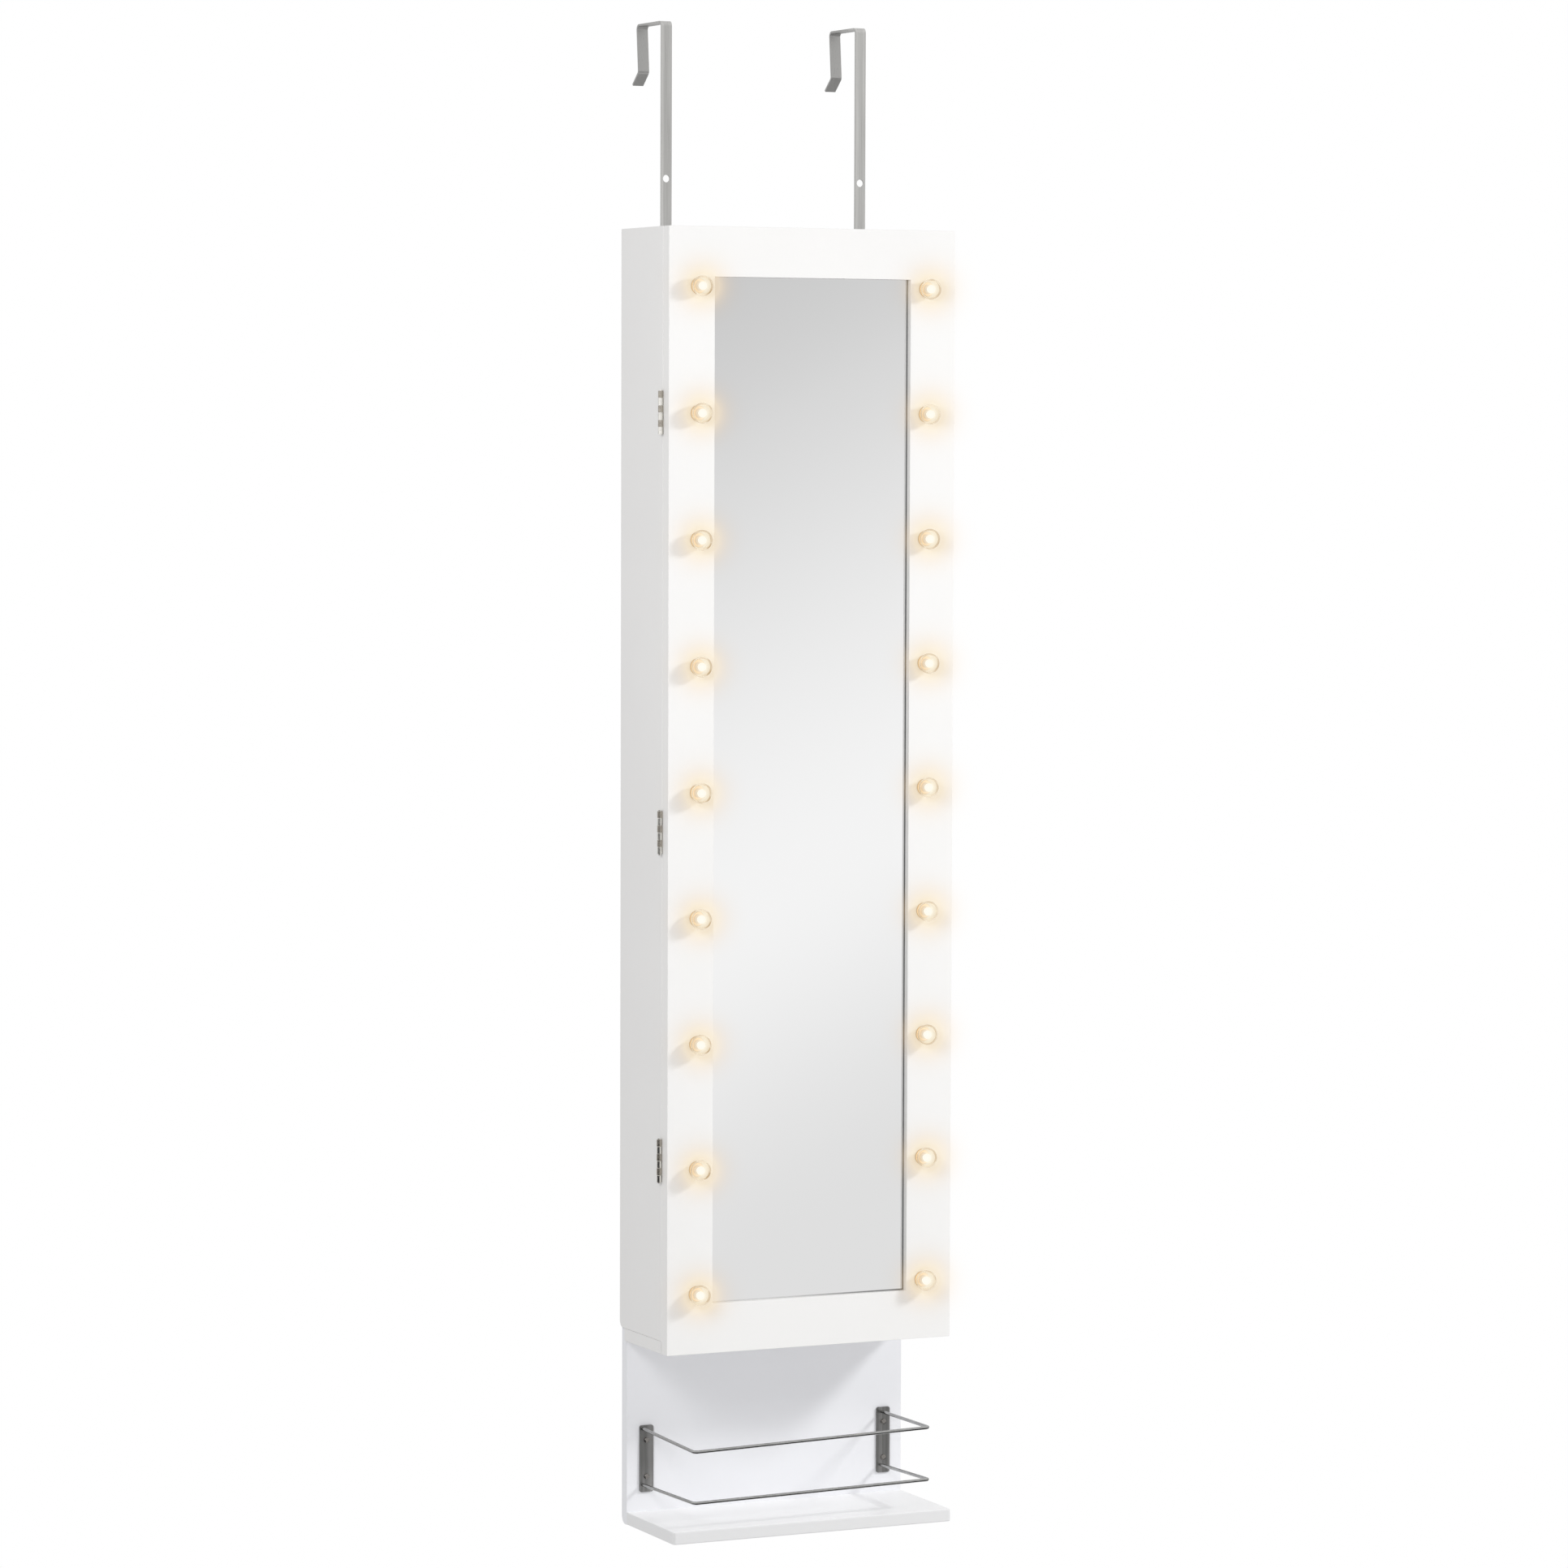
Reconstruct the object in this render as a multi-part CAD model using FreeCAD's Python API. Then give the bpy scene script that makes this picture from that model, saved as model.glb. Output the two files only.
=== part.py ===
"""Over-door jewelry armoire.

A narrow white cabinet hangs from two flat steel hooks. Its door is a full-length mirror in a wide frame
with a row of globe lamps down each side. Below the door the back board runs on down to an open shelf with
a two-wire guard rail.

X runs from left to right, Y from front to back, Z up. The origin is midway between the hanging holes of
the two hooks, in the plane of the hook bars' back faces. height(h) turns a height above the door's bottom
edge into Z. All sizes are in millimetres.
"""
import FreeCAD, Part
import math
import os

V = FreeCAD.Vector

# Driving dimensions: carcass and door.
WIDTH = 300.0
HEIGHT = 1068.0
BOARD = 12.0
CARCASS_DEPTH = 99.2
DOOR_GAP = 0.8
FRAME_BOARD = 6.5
FRAME_BORDER = 47.3
SIDE_LIP = 2.7
EDGE_ROUND = 0.8

# Hooks.
HOOK_STEEL = 2.0
HOOK_WIDTH = 11.0
HOOK_SPACING = 206.0
HANGING_HOLE_R = 3.6
HANGING_HOLE_ABOVE_TOP = 49.0
HOOK_TOP_ABOVE_TOP = 199.2
HOOK_OVERALL_REACH = 60.0
HOOK_TAIL = 120.0
HOOK_REAR_LEG = 46.0
HOOK_REAR_LEAN = 4.0
HOOK_LIP_BACK = 14.0
HOOK_LIP_DROP = 11.5
HOOK_BEND = 4.0

# Lower shelf and its guard rail.
SHELF_UNDERSIDE = -179.5
SHELF_OVERHANG = 10.4
PLATE_SIZE = (14.2, 1.8, 65.0)
PLATE_X = 127.2
PLATE_TOP = -83.5
WIRE_R = 1.6
WIRE_BEND = 4.0

# Lamps.
LAMPS_PER_SIDE = 9
LAMP_X = 119.6
LAMP_FIRST = 57.4
LAMP_PITCH = 119.3
GLOBE_R = 9.75
GLOBE_WALL = 0.9
GLOBE_STANDOFF = 9.7
SOCKET_FLANGE_R = 7.8
SOCKET_FLANGE = 1.2
SOCKET_BARREL_R = 5.9
LED_STEM_R = 2.0
LED_BEAD_R = 3.6

# Hinges.
HINGE_HEIGHTS = (185.0, 497.0, 893.0)
HINGE_LENGTH = 41.0
HINGE_OUT = 2.6
KNUCKLES = 6
KNUCKLE_R = 2.3
KNUCKLE_GAP = 0.4
PIN_R = 1.1
PIN_CLEARANCE = 0.05
LEAF = 0.75
LEAF_WIDTH = 11.0
LEAF_OFFSET = 0.2

# Least gap between pieces that slide past each other.
SLIDE_GAP = 0.35

# Inside of the cabinet.
LINING = 1.0
INNER_SHELF = 6.0
INNER_SHELF_DEPTH = 62.0
INNER_SHELF_HEIGHTS = (132.0, 252.0, 372.0, 706.0)
PIN_SUPPORT_R = 2.5
GUARD_ROD_R = 2.5
GUARD_ROD_HEIGHTS = (44.0, 72.0, 166.0, 286.0)

# Derived places.
HALF = WIDTH / 2
INNER_HALF = HALF - BOARD
BASE_Z = -HANGING_HOLE_ABOVE_TOP - HEIGHT
BACK_Y = -HOOK_STEEL
BOARD_FRONT_Y = BACK_Y - BOARD
LINING_Y = BOARD_FRONT_Y - LINING
CARCASS_Y = BACK_Y - CARCASS_DEPTH
HINGE_Y = CARCASS_Y - DOOR_GAP / 2
DOOR_BACK_Y = CARCASS_Y - DOOR_GAP
FRAME_SPLIT_Y = DOOR_BACK_Y - FRAME_BOARD
DOOR_Y = FRAME_SPLIT_Y - FRAME_BOARD
BACK_HALF = HALF - SIDE_LIP
SIDES = (-1, 1)

nodes = {}


def height(h):
    """Z of a point h above the door's bottom edge."""
    return BASE_Z + h


def span(low, high):
    """Limits in Z from two heights."""
    return height(low), height(high)


def block(x, y, z):
    """A box between the two limits given for each axis."""
    return Part.makeBox(x[1] - x[0], y[1] - y[0], z[1] - z[0], V(x[0], y[0], z[0]))


def round_bar(start, end, radius):
    """A cylinder from one point to another."""
    axis = end - start
    return Part.makeCylinder(radius, axis.Length, start, axis)


def across(x, y, z, radius):
    """A bar along X between the two limits x."""
    return round_bar(V(x[0], y, z), V(x[1], y, z), radius)


def rounded(shape, radius, wanted):
    """The shape with a fillet on each straight edge whose middle the test accepts."""
    edges = [e for e in shape.Edges if isinstance(e.Curve, Part.Line) and wanted(e.CenterOfMass)]
    return shape.makeFillet(radius, edges)


def near(value, target):
    return abs(value - target) < 1e-3


def mirrored(shape):
    """The same piece on the other side of the centre plane."""
    return shape.mirror(V(0, 0, 0), V(1, 0, 0))


def bent_path(points, bend):
    """Straight runs through the points, with a tangent arc of the given radius at each corner."""
    edges = []
    start = points[0]
    for before, corner, after in zip(points, points[1:], points[2:]):
        back = (before - corner).normalize()
        on = (after - corner).normalize()
        half_angle = back.getAngle(on) / 2
        run = bend / math.tan(half_angle)
        inward = (back + on).normalize()
        arc_start = corner + back * run
        arc_end = corner + on * run
        arc_middle = corner + inward * (bend / math.sin(half_angle) - bend)
        edges.append(Part.makeLine(start, arc_start))
        edges.append(Part.Arc(arc_start, arc_middle, arc_end).toShape())
        start = arc_end
    edges.append(Part.makeLine(start, points[-1]))
    return Part.Wire(edges)


def bent_rod(points, bend, radius):
    """A round wire or cable along a bent path."""
    path = bent_path(points, bend)
    profile = Part.Wire(Part.makeCircle(radius, points[0], points[1] - points[0]))
    return path.makePipeShell([profile], True, True)


def bent_strip(points, bend, width, thickness):
    """A flat bar lying along X, bent along a path in a plane across X."""
    run = (points[1] - points[0]).normalize()
    side = V(width / 2, 0, 0)
    face = run.cross(V(1, 0, 0)) * (thickness / 2)
    start = points[0]
    corners = [start + side + face, start - side + face, start - side - face, start + side - face]
    profile = Part.makePolygon(corners + corners[:1])
    return bent_path(points, bend).makePipeShell([profile], True, True)


def flat_screw(place, direction, radius, length):
    """A countersunk screw: its flat head is level with the surface at place."""
    head_r = 2 * radius
    head = Part.makeCone(head_r, radius, head_r - radius, place, direction)
    shank = Part.makeCylinder(radius, length, place, direction)
    return head.fuse(shank).removeSplitter()


def pan_screw(place, direction, radius, length):
    """A screw whose low round head stands on the surface at place."""
    head_r = 1.8 * radius
    head_height = 1.1 * radius
    crown = place - direction * head_height
    head = Part.makeCylinder(head_r, head_height, crown, direction)
    crown_edge = [e for e in head.Edges if near(e.CenterOfMass.distanceToPoint(crown), 0)]
    head = head.makeFillet(0.6 * radius, crown_edge)
    shank = Part.makeCylinder(radius, length, place, direction)
    return head.fuse(shank).removeSplitter()


def bored(shape, tools):
    """The shape with the tools taken out of it, one after another."""
    for tool in tools:
        shape = shape.cut(tool)
    return shape


def lamp_centres():
    """Where each lamp's axis meets the door's front face."""
    for side in SIDES:
        for i in range(LAMPS_PER_SIDE):
            yield V(side * LAMP_X, DOOR_Y, height(LAMP_FIRST + i * LAMP_PITCH))


# Fasteners come first, because the boards are bored to take them.

def dowels():
    """Wooden dowels: top panel to sides, sides to bottom panel, and lower shelf to back board."""
    found = []
    for side in SIDES:
        for y in (-80.0, -38.0):
            ends = sorted((side * (INNER_HALF - 10), side * (INNER_HALF + 9)))
            found.append(across(ends, y, height(HEIGHT - BOARD / 2), 3.0))
            foot = V(side * (HALF - BOARD / 2), y - 4, height(3))
            found.append(round_bar(foot, foot + V(0, 0, 20), 3.0))
    for x in (-120.0, -40.0, 40.0, 120.0):
        start = V(x, BOARD_FRONT_Y + 8, height(SHELF_UNDERSIDE + BOARD / 2))
        found.append(round_bar(start, start - V(0, 28, 0), 3.0))
    return found


def carcass_screws():
    """Screws through the back board into the other panels, and up through the bottom panel."""
    forward = V(0, -1, 0)
    found = []
    for x in (-70.0, 0.0, 70.0):
        for h in (BOARD / 2, HEIGHT - BOARD / 2):
            found.append(flat_screw(V(x, BACK_Y, height(h)), forward, 1.75, 30))
    for side in SIDES:
        for h in (200.0, 534.0, 870.0):
            found.append(flat_screw(V(side * (INNER_HALF + 4.5), BACK_Y, height(h)), forward, 1.75, 30))
        found.append(flat_screw(V(side * (HALF - BOARD / 2), -62, height(0)), V(0, 0, 1), 1.75, 35))
    return found


def hook_screws():
    found = []
    for side in SIDES:
        for drop in (25.0, 65.0, 105.0):
            place = V(side * HOOK_SPACING / 2, 0, height(HEIGHT - drop))
            found.append(flat_screw(place, V(0, -1, 0), 2.0, 12))
    return found


def bracket_screws():
    found = []
    for side in SIDES:
        for drop in (14.4, 49.8):
            place = V(side * PLATE_X, BOARD_FRONT_Y - PLATE_SIZE[1], height(PLATE_TOP - drop))
            found.append(pan_screw(place, V(0, 1, 0), 1.5, 11))
    return found


def hinge_screws(side):
    """Two screws in each leaf: side 1 runs back into the cabinet, side -1 forward into the door."""
    found = []
    for h in HINGE_HEIGHTS:
        for off in (-13.0, 13.0):
            place = V(-HALF + 6.4, HINGE_Y + side * LEAF_OFFSET, height(h + off))
            found.append(flat_screw(place, V(0, side, 0), 1.2, 11 if side > 0 else 6))
    return found


# Carcass.

def shelf_pins():
    """Steel pins in the sides, four under each inner shelf."""
    found = []
    for shelf_height in INNER_SHELF_HEIGHTS:
        for y in (-65.0, -30.0):
            for side in SIDES:
                ends = sorted((side * (INNER_HALF - 7), side * (INNER_HALF + 8)))
                found.append(across(ends, y, height(shelf_height - PIN_SUPPORT_R), PIN_SUPPORT_R))
    return found


def guard_rods():
    """Round bars that keep bottles in the three lower bins, let into both sides."""
    reach = INNER_HALF + 4
    y = LINING_Y - INNER_SHELF_DEPTH + 4
    return [across((-reach, reach), y, height(h), GUARD_ROD_R) for h in GUARD_ROD_HEIGHTS]


def hinge_recess(side):
    """Shallow recesses for the leaves: side 1 in the cabinet's edge, side -1 in the door's back."""
    near_y = HINGE_Y + side * 0.1
    far_y = HINGE_Y + side * (LEAF_OFFSET + LEAF)
    reach = HINGE_LENGTH / 2 + 0.2
    for h in HINGE_HEIGHTS:
        yield block((-HALF - 1, -HALF + LEAF_WIDTH + 0.3), sorted((near_y, far_y)),
                    span(h - reach, h + reach))


def side_panel(side, tools):
    """Board on edge, rebated behind for the back board, with a round lower back corner."""
    panel = block((INNER_HALF, HALF), (CARCASS_Y, BACK_Y), span(BOARD, HEIGHT))
    rebate = block((INNER_HALF - 1, BACK_HALF), (BOARD_FRONT_Y, BACK_Y + 1), span(0, HEIGHT + 1))
    panel = panel.cut(rebate)
    panel = rounded(panel, 7.0, lambda c: near(c.y, BACK_Y) and near(c.z, height(BOARD)))
    panel = rounded(panel, EDGE_ROUND, lambda c: near(c.x, HALF) and c.z > height(BOARD + 1))
    if side < 0:
        panel = mirrored(panel)
    return bored(panel, tools)


def top_panel(tools):
    panel = block((-INNER_HALF, INNER_HALF), (CARCASS_Y, BOARD_FRONT_Y), span(HEIGHT - BOARD, HEIGHT))
    return bored(panel, tools)


def bottom_panel(tools):
    panel = block((-HALF, HALF), (CARCASS_Y, BOARD_FRONT_Y), span(0, BOARD))
    panel = rounded(panel, EDGE_ROUND, lambda c: near(abs(c.x), HALF) and near(c.z, height(0)))
    return bored(panel, tools)


def back_board(tools):
    """One long board behind the cabinet that runs on down to the lower shelf."""
    board = block((-BACK_HALF, BACK_HALF), (BACK_Y - BOARD, BACK_Y), span(SHELF_UNDERSIDE, HEIGHT))
    board = rounded(board, 8.0, lambda c: near(c.y, BACK_Y) and near(c.z, height(SHELF_UNDERSIDE)))
    return bored(board, tools)


def lower_shelf(tools):
    front = DOOR_Y - SHELF_OVERHANG
    z = span(SHELF_UNDERSIDE, SHELF_UNDERSIDE + BOARD)
    shelf = block((-BACK_HALF, BACK_HALF), (front, BOARD_FRONT_Y), z)
    shelf = rounded(shelf, 3.0, lambda c: near(c.y, front) and near(abs(c.x), BACK_HALF))
    shelf = rounded(shelf, 1.2, lambda c: near(c.y, front) and not near(c.z, (z[0] + z[1]) / 2))
    return bored(shelf, tools)


def hook(side, tools):
    """Flat bar: up behind the cabinet, over the house door's top edge and down behind it to a lip."""
    x = side * HOOK_SPACING / 2
    half_steel = HOOK_STEEL / 2
    top = height(HEIGHT + HOOK_TOP_ABOVE_TOP) - half_steel
    rear = HOOK_OVERALL_REACH - HOOK_STEEL - half_steel
    knee = V(x, rear - HOOK_REAR_LEAN, top + half_steel - HOOK_REAR_LEG)
    points = [
        V(x, -half_steel, height(HEIGHT - HOOK_TAIL)),
        V(x, -half_steel, top),
        V(x, rear, top),
        knee,
        knee + V(0, HOOK_LIP_BACK, -HOOK_LIP_DROP),
    ]
    bar = bent_strip(points, HOOK_BEND, HOOK_WIDTH, HOOK_STEEL)
    hole = round_bar(V(x, -2 * HOOK_STEEL, 0), V(x, HOOK_STEEL, 0), HANGING_HOLE_R)
    return bored(bar, [hole] + tools)


# Guard rail over the lower shelf.

def bracket_plate(side, tools):
    width, thick, tall = PLATE_SIZE
    x = side * PLATE_X
    y = (BOARD_FRONT_Y - thick, BOARD_FRONT_Y)
    plate = block((x - width / 2, x + width / 2), y, span(PLATE_TOP - tall, PLATE_TOP))
    middle_y = sum(y) / 2
    plate = rounded(plate, 2.0, lambda c: near(c.y, middle_y))
    return bored(plate, tools)


def rail_wire(heights, right_end_x):
    """A wire bent round the shelf from one plate to the other.

    heights are above the door's bottom edge: at the left plate, the two front corners and the right
    plate. The front run is a little out of square. Both ends are cut flat against their plates.
    """
    plate_y = BOARD_FRONT_Y - PLATE_SIZE[1]
    plan = ((-131.3, plate_y), (-126.0, DOOR_Y - 11.0), (126.4, DOOR_Y - 3.5), (right_end_x, plate_y))
    points = [V(x, y, height(h)) for (x, y), h in zip(plan, heights)]
    points[0] += (points[0] - points[1]).normalize()
    points[3] += (points[3] - points[2]).normalize()
    wire = bent_rod(points, WIRE_BEND, WIRE_R)
    behind = block((-HALF, HALF), (plate_y, plate_y + 3), (points[0].z - 10, points[0].z + 10))
    return wire.cut(behind)


# Fittings inside the cabinet.

def inner_shelf(shelf_height):
    z = span(shelf_height, shelf_height + INNER_SHELF)
    half = INNER_HALF - 0.3
    shelf = block((-half, half), (LINING_Y - INNER_SHELF_DEPTH, LINING_Y), z)
    front = LINING_Y - INNER_SHELF_DEPTH
    return rounded(shelf, 1.0, lambda c: near(c.y, front) and near(c.x, 0))


def back_lining():
    return block((-INNER_HALF, INNER_HALF), (LINING_Y, BOARD_FRONT_Y), span(BOARD, HEIGHT - BOARD))


RING_ROLLS = 8
RING_ROLL_R = 6.5
RING_ROLL_PITCH = 13.25
RING_TRAY_WALL = 5.0
RING_TRAY_BACK = 3.0
RING_TRAY_DEPTH = 22.0
RING_TRAY_HALF = 136.0


def ring_tray():
    """Shallow open tray that stands on the third shelf and holds the ring rolls."""
    foot = INNER_SHELF_HEIGHTS[2] + INNER_SHELF
    tall = RING_ROLLS * RING_ROLL_PITCH + 2 * RING_TRAY_WALL
    tray = block((-RING_TRAY_HALF, RING_TRAY_HALF), (LINING_Y - RING_TRAY_DEPTH, LINING_Y),
                 span(foot, foot + tall))
    inner_half = RING_TRAY_HALF - RING_TRAY_WALL
    hollow = block((-inner_half, inner_half), (LINING_Y - RING_TRAY_DEPTH - 1, LINING_Y - RING_TRAY_BACK),
                   span(foot + RING_TRAY_WALL, foot + tall - RING_TRAY_WALL))
    return tray.cut(hollow)


def ring_rolls():
    """Soft rolls stacked in the tray, each with a flat back: rings are pushed in between two of them."""
    foot = INNER_SHELF_HEIGHTS[2] + INNER_SHELF + RING_TRAY_WALL
    reach = RING_TRAY_HALF - RING_TRAY_WALL - 0.5
    back = LINING_Y - RING_TRAY_BACK
    found = []
    for i in range(RING_ROLLS):
        z = height(foot + (i + 0.5) * RING_ROLL_PITCH)
        roll = across((-reach, reach), back - RING_ROLL_R + 0.6, z, RING_ROLL_R)
        behind = block((-reach, reach), (back, back + RING_ROLL_R), (z - RING_ROLL_R, z + RING_ROLL_R))
        found.append(roll.cut(behind))
    return found


EARRING_BOARD = (512.0, 618.0)
EARRING_STANDOFF = 12.0


def earring_cleats():
    """Strips on both sides that hold the slotted board off the lining."""
    z = tuple(height(h) for h in EARRING_BOARD)
    cleat = block((INNER_HALF - 8, INNER_HALF), (LINING_Y - EARRING_STANDOFF, LINING_Y), z)
    return [mirrored(cleat), cleat]


def earring_board():
    """Thin board with level slots that earrings hook into."""
    front = LINING_Y - EARRING_STANDOFF - 3
    half = INNER_HALF - 0.2
    board = block((-half, half), (front, front + 3), tuple(height(h) for h in EARRING_BOARD))
    slots = []
    for i in range(5):
        low = height(EARRING_BOARD[0] + 16 + i * 18)
        slots.append(block((-118, 118), (front - 1, front + 4), (low, low + 3)))
    return bored(board, slots)


BRACELET_ROD_R = 6.0
BRACELET_ROD_HEIGHT = 684.0
BRACELET_ROD_Y = -56.0
CUP_FLOOR = 1.0


def bracelet_rod():
    reach = INNER_HALF - CUP_FLOOR
    return across((-reach, reach), BRACELET_ROD_Y, height(BRACELET_ROD_HEIGHT), BRACELET_ROD_R)


def bracelet_rod_cups(rod):
    """Round cups on both sides that carry the rod's ends."""
    z = height(BRACELET_ROD_HEIGHT)
    cup = across((INNER_HALF - 8, INNER_HALF), BRACELET_ROD_Y, z, 11.0)
    seat = across((INNER_HALF - 9, INNER_HALF - CUP_FLOOR), BRACELET_ROD_Y, z, BRACELET_ROD_R + 0.05)
    cup = cup.cut(seat)
    return [mirrored(cup), cup]


PEGS = 12
PEG_PITCH = 20.0
PEG_TILT = math.radians(12)
PEG_RAIL = (1004.0, 1024.0)


def necklace_pegs():
    """Round pegs that slope up out of the rail."""
    out = V(0, -math.cos(PEG_TILT), math.sin(PEG_TILT))
    found = []
    for i in range(PEGS):
        root = V((i - (PEGS - 1) / 2) * PEG_PITCH, LINING_Y - 4, height(sum(PEG_RAIL) / 2))
        peg = round_bar(root, root + out * 34, 2.5)
        tip = root + out * 34
        tip_edge = [e for e in peg.Edges if near(e.CenterOfMass.distanceToPoint(tip), 0)]
        found.append(peg.makeFillet(1.4, tip_edge))
    return found


def necklace_rail(pegs):
    z = tuple(height(h) for h in PEG_RAIL)
    rail = block((-130, 130), (LINING_Y - 12, LINING_Y), z)
    front = LINING_Y - 12
    rail = rounded(rail, 2.0, lambda c: near(c.y, front))
    return bored(rail, pegs)


CATCH_HEIGHTS = (200.0, 1000.0)
CATCH_SIZE = (14.0, 12.7, 40.0)


def catch_magnets():
    """Magnet and pole block, its face at the front of the catch."""
    front = CARCASS_Y + 0.3
    found = []
    for h in CATCH_HEIGHTS:
        found.append(block((INNER_HALF - 10, INNER_HALF - 4), (front, front + 8), span(h - 14, h + 14)))
    return found


def catch_bodies(magnets):
    wide, deep, tall = CATCH_SIZE
    front = CARCASS_Y + 0.3
    found = []
    for h, magnet in zip(CATCH_HEIGHTS, magnets):
        z = span(h - tall / 2, h + tall / 2)
        body = block((INNER_HALF - wide, INNER_HALF), (front, front + deep), z)
        body = rounded(body, 1.5, lambda c: near(c.x, INNER_HALF - wide))
        found.append(body.cut(magnet))
    return found


def door_bumpers():
    """Soft dots on the right side's front edge that stop the door quietly."""
    found = []
    for h in (30.0, 534.0, 1038.0):
        place = V(HALF - BOARD / 2, CARCASS_Y, height(h))
        found.append(round_bar(place, place - V(0, 0.4, 0), 3.5))
    return found


# Hinges.

def hinge_leaf(side, h, screws):
    """A leaf with every other knuckle: side 1 is the cabinet's, side -1 the door's."""
    axis_x = -HALF - HINGE_OUT
    low = height(h - HINGE_LENGTH / 2)
    pitch = HINGE_LENGTH / KNUCKLES
    y = sorted((HINGE_Y + side * LEAF_OFFSET, HINGE_Y + side * (LEAF_OFFSET + LEAF)))
    leaf = block((-HALF + 0.1, -HALF + LEAF_WIDTH), y, (low, low + HINGE_LENGTH))
    bore_r = PIN_R if side > 0 else PIN_R + PIN_CLEARANCE
    axis = V(axis_x, HINGE_Y, low - 1)
    bore = round_bar(axis, axis + V(0, 0, HINGE_LENGTH + 2), bore_r)
    for i in range(0 if side > 0 else 1, KNUCKLES, 2):
        z = (low + i * pitch + KNUCKLE_GAP / 2, low + (i + 1) * pitch - KNUCKLE_GAP / 2)
        knuckle = round_bar(V(axis_x, HINGE_Y, z[0]), V(axis_x, HINGE_Y, z[1]), KNUCKLE_R)
        web = block((axis_x, -HALF + 0.2), y, z)
        leaf = leaf.fuse(knuckle).fuse(web)
    return bored(leaf.removeSplitter(), [bore] + screws)


def hinge_pin(h):
    """Pin with a low round head at each end of the barrel."""
    axis_x = -HALF - HINGE_OUT
    neck = HINGE_LENGTH / 2 + KNUCKLE_GAP / 2
    end = neck + 0.6
    profile = [(0, -end), (PIN_R + 0.5, -end), (PIN_R + 0.5, -neck), (PIN_R, -neck),
               (PIN_R, neck), (PIN_R + 0.5, neck), (PIN_R + 0.5, end), (0, end)]
    corners = [V(axis_x + r, HINGE_Y, height(h) + z) for r, z in profile]
    face = Part.Face(Part.makePolygon(corners + corners[:1]))
    return face.revolve(V(axis_x, HINGE_Y, 0), V(0, 0, 1), 360)


# Door.

REAR_STILE = 20.0
REAR_RAIL = 30.0
REAR_REBATE = 4.0
MIRROR_LAP = 5.0
MIRROR_GLASS = 3.0
BACK_PANEL = 3.0


def door_front_frame():
    """The visible frame, with a hole for each lamp socket."""
    outer = block((-HALF, HALF), (DOOR_Y, FRAME_SPLIT_Y), span(0, HEIGHT))
    x = HALF - FRAME_BORDER
    opening = block((-x, x), (DOOR_Y - 1, FRAME_SPLIT_Y + 1), span(FRAME_BORDER, HEIGHT - FRAME_BORDER))
    frame = outer.cut(opening)
    split = (DOOR_Y + FRAME_SPLIT_Y) / 2
    frame = rounded(frame, EDGE_ROUND, lambda c: near(abs(c.x), HALF) and near(c.y, split))
    frame = rounded(frame, EDGE_ROUND / 2, lambda c: near(c.y, DOOR_Y))
    margin = V(0, 1, 0)
    depth = V(0, FRAME_BOARD, 0)
    holes = [round_bar(c - margin, c + depth + margin, SOCKET_BARREL_R) for c in lamp_centres()]
    return bored(frame, holes)


def door_rear_frame(tools):
    """The hidden frame behind it: it makes room for the mirror, the lamp strips and the back panel."""
    outer = block((-HALF, HALF), (FRAME_SPLIT_Y, DOOR_BACK_Y), span(0, HEIGHT))
    x = HALF - REAR_STILE
    opening = block((-x, x), (FRAME_SPLIT_Y - 1, DOOR_BACK_Y + 1), span(REAR_RAIL, HEIGHT - REAR_RAIL))
    frame = outer.cut(opening)
    split = (FRAME_SPLIT_Y + DOOR_BACK_Y) / 2
    frame = rounded(frame, EDGE_ROUND, lambda c: near(abs(c.x), HALF) and near(c.y, split))
    frame = frame.cut(panel_outline(0))
    return bored(frame, list(hinge_recess(-1)) + tools)


def panel_outline(clearance):
    """The rebate that the door's back panel lies in, or the panel itself with some clearance."""
    x = HALF - REAR_STILE + REAR_REBATE - clearance
    z = REAR_RAIL - REAR_REBATE + clearance
    return block((-x, x), (DOOR_BACK_Y - BACK_PANEL, DOOR_BACK_Y), span(z, HEIGHT - z))


def panel_screws():
    """Small screws that hold the back panel in its rebate."""
    x = HALF - REAR_STILE + REAR_REBATE / 2
    found = []
    for side in SIDES:
        for h in (60.0, 285.0, 510.0, 735.0, 960.0):
            found.append(flat_screw(V(side * x, DOOR_BACK_Y, height(h)), V(0, -1, 0), 0.9, 6))
    return found


WIRE_HOLE = (89.0, 37.0)
WIRE_HOLE_R = 5.0


def door_back_panel(tools):
    panel = panel_outline(0.2)
    place = V(WIRE_HOLE[0], DOOR_BACK_Y - BACK_PANEL - 1, height(WIRE_HOLE[1]))
    hole = round_bar(place, place + V(0, BACK_PANEL + 2, 0), WIRE_HOLE_R)
    return bored(panel, [hole] + tools)


def mirror_glass():
    x = HALF - FRAME_BORDER + MIRROR_LAP
    z = FRAME_BORDER - MIRROR_LAP
    return block((-x, x), (FRAME_SPLIT_Y, FRAME_SPLIT_Y + MIRROR_GLASS), span(z, HEIGHT - z))


def mirror_tape():
    """Foam tape between the mirror and the back panel."""
    y = (FRAME_SPLIT_Y + MIRROR_GLASS, DOOR_BACK_Y - BACK_PANEL)
    return [block((x - 10, x + 10), y, span(90, HEIGHT - 90)) for x in (-60.0, 0.0, 60.0)]


# Lamps: socket, light source and clear globe on one axis, which points out of the door.

def turned(profile, centre):
    """A solid of revolution about a lamp's axis: profile is a face of (radius, distance out)."""
    return profile.revolve(centre, V(0, -1, 0), 360)


def lamp_face(centre, corners):
    points = [centre + V(r, -out, 0) for r, out in corners]
    return Part.Face(Part.makePolygon(points + points[:1]))


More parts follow.
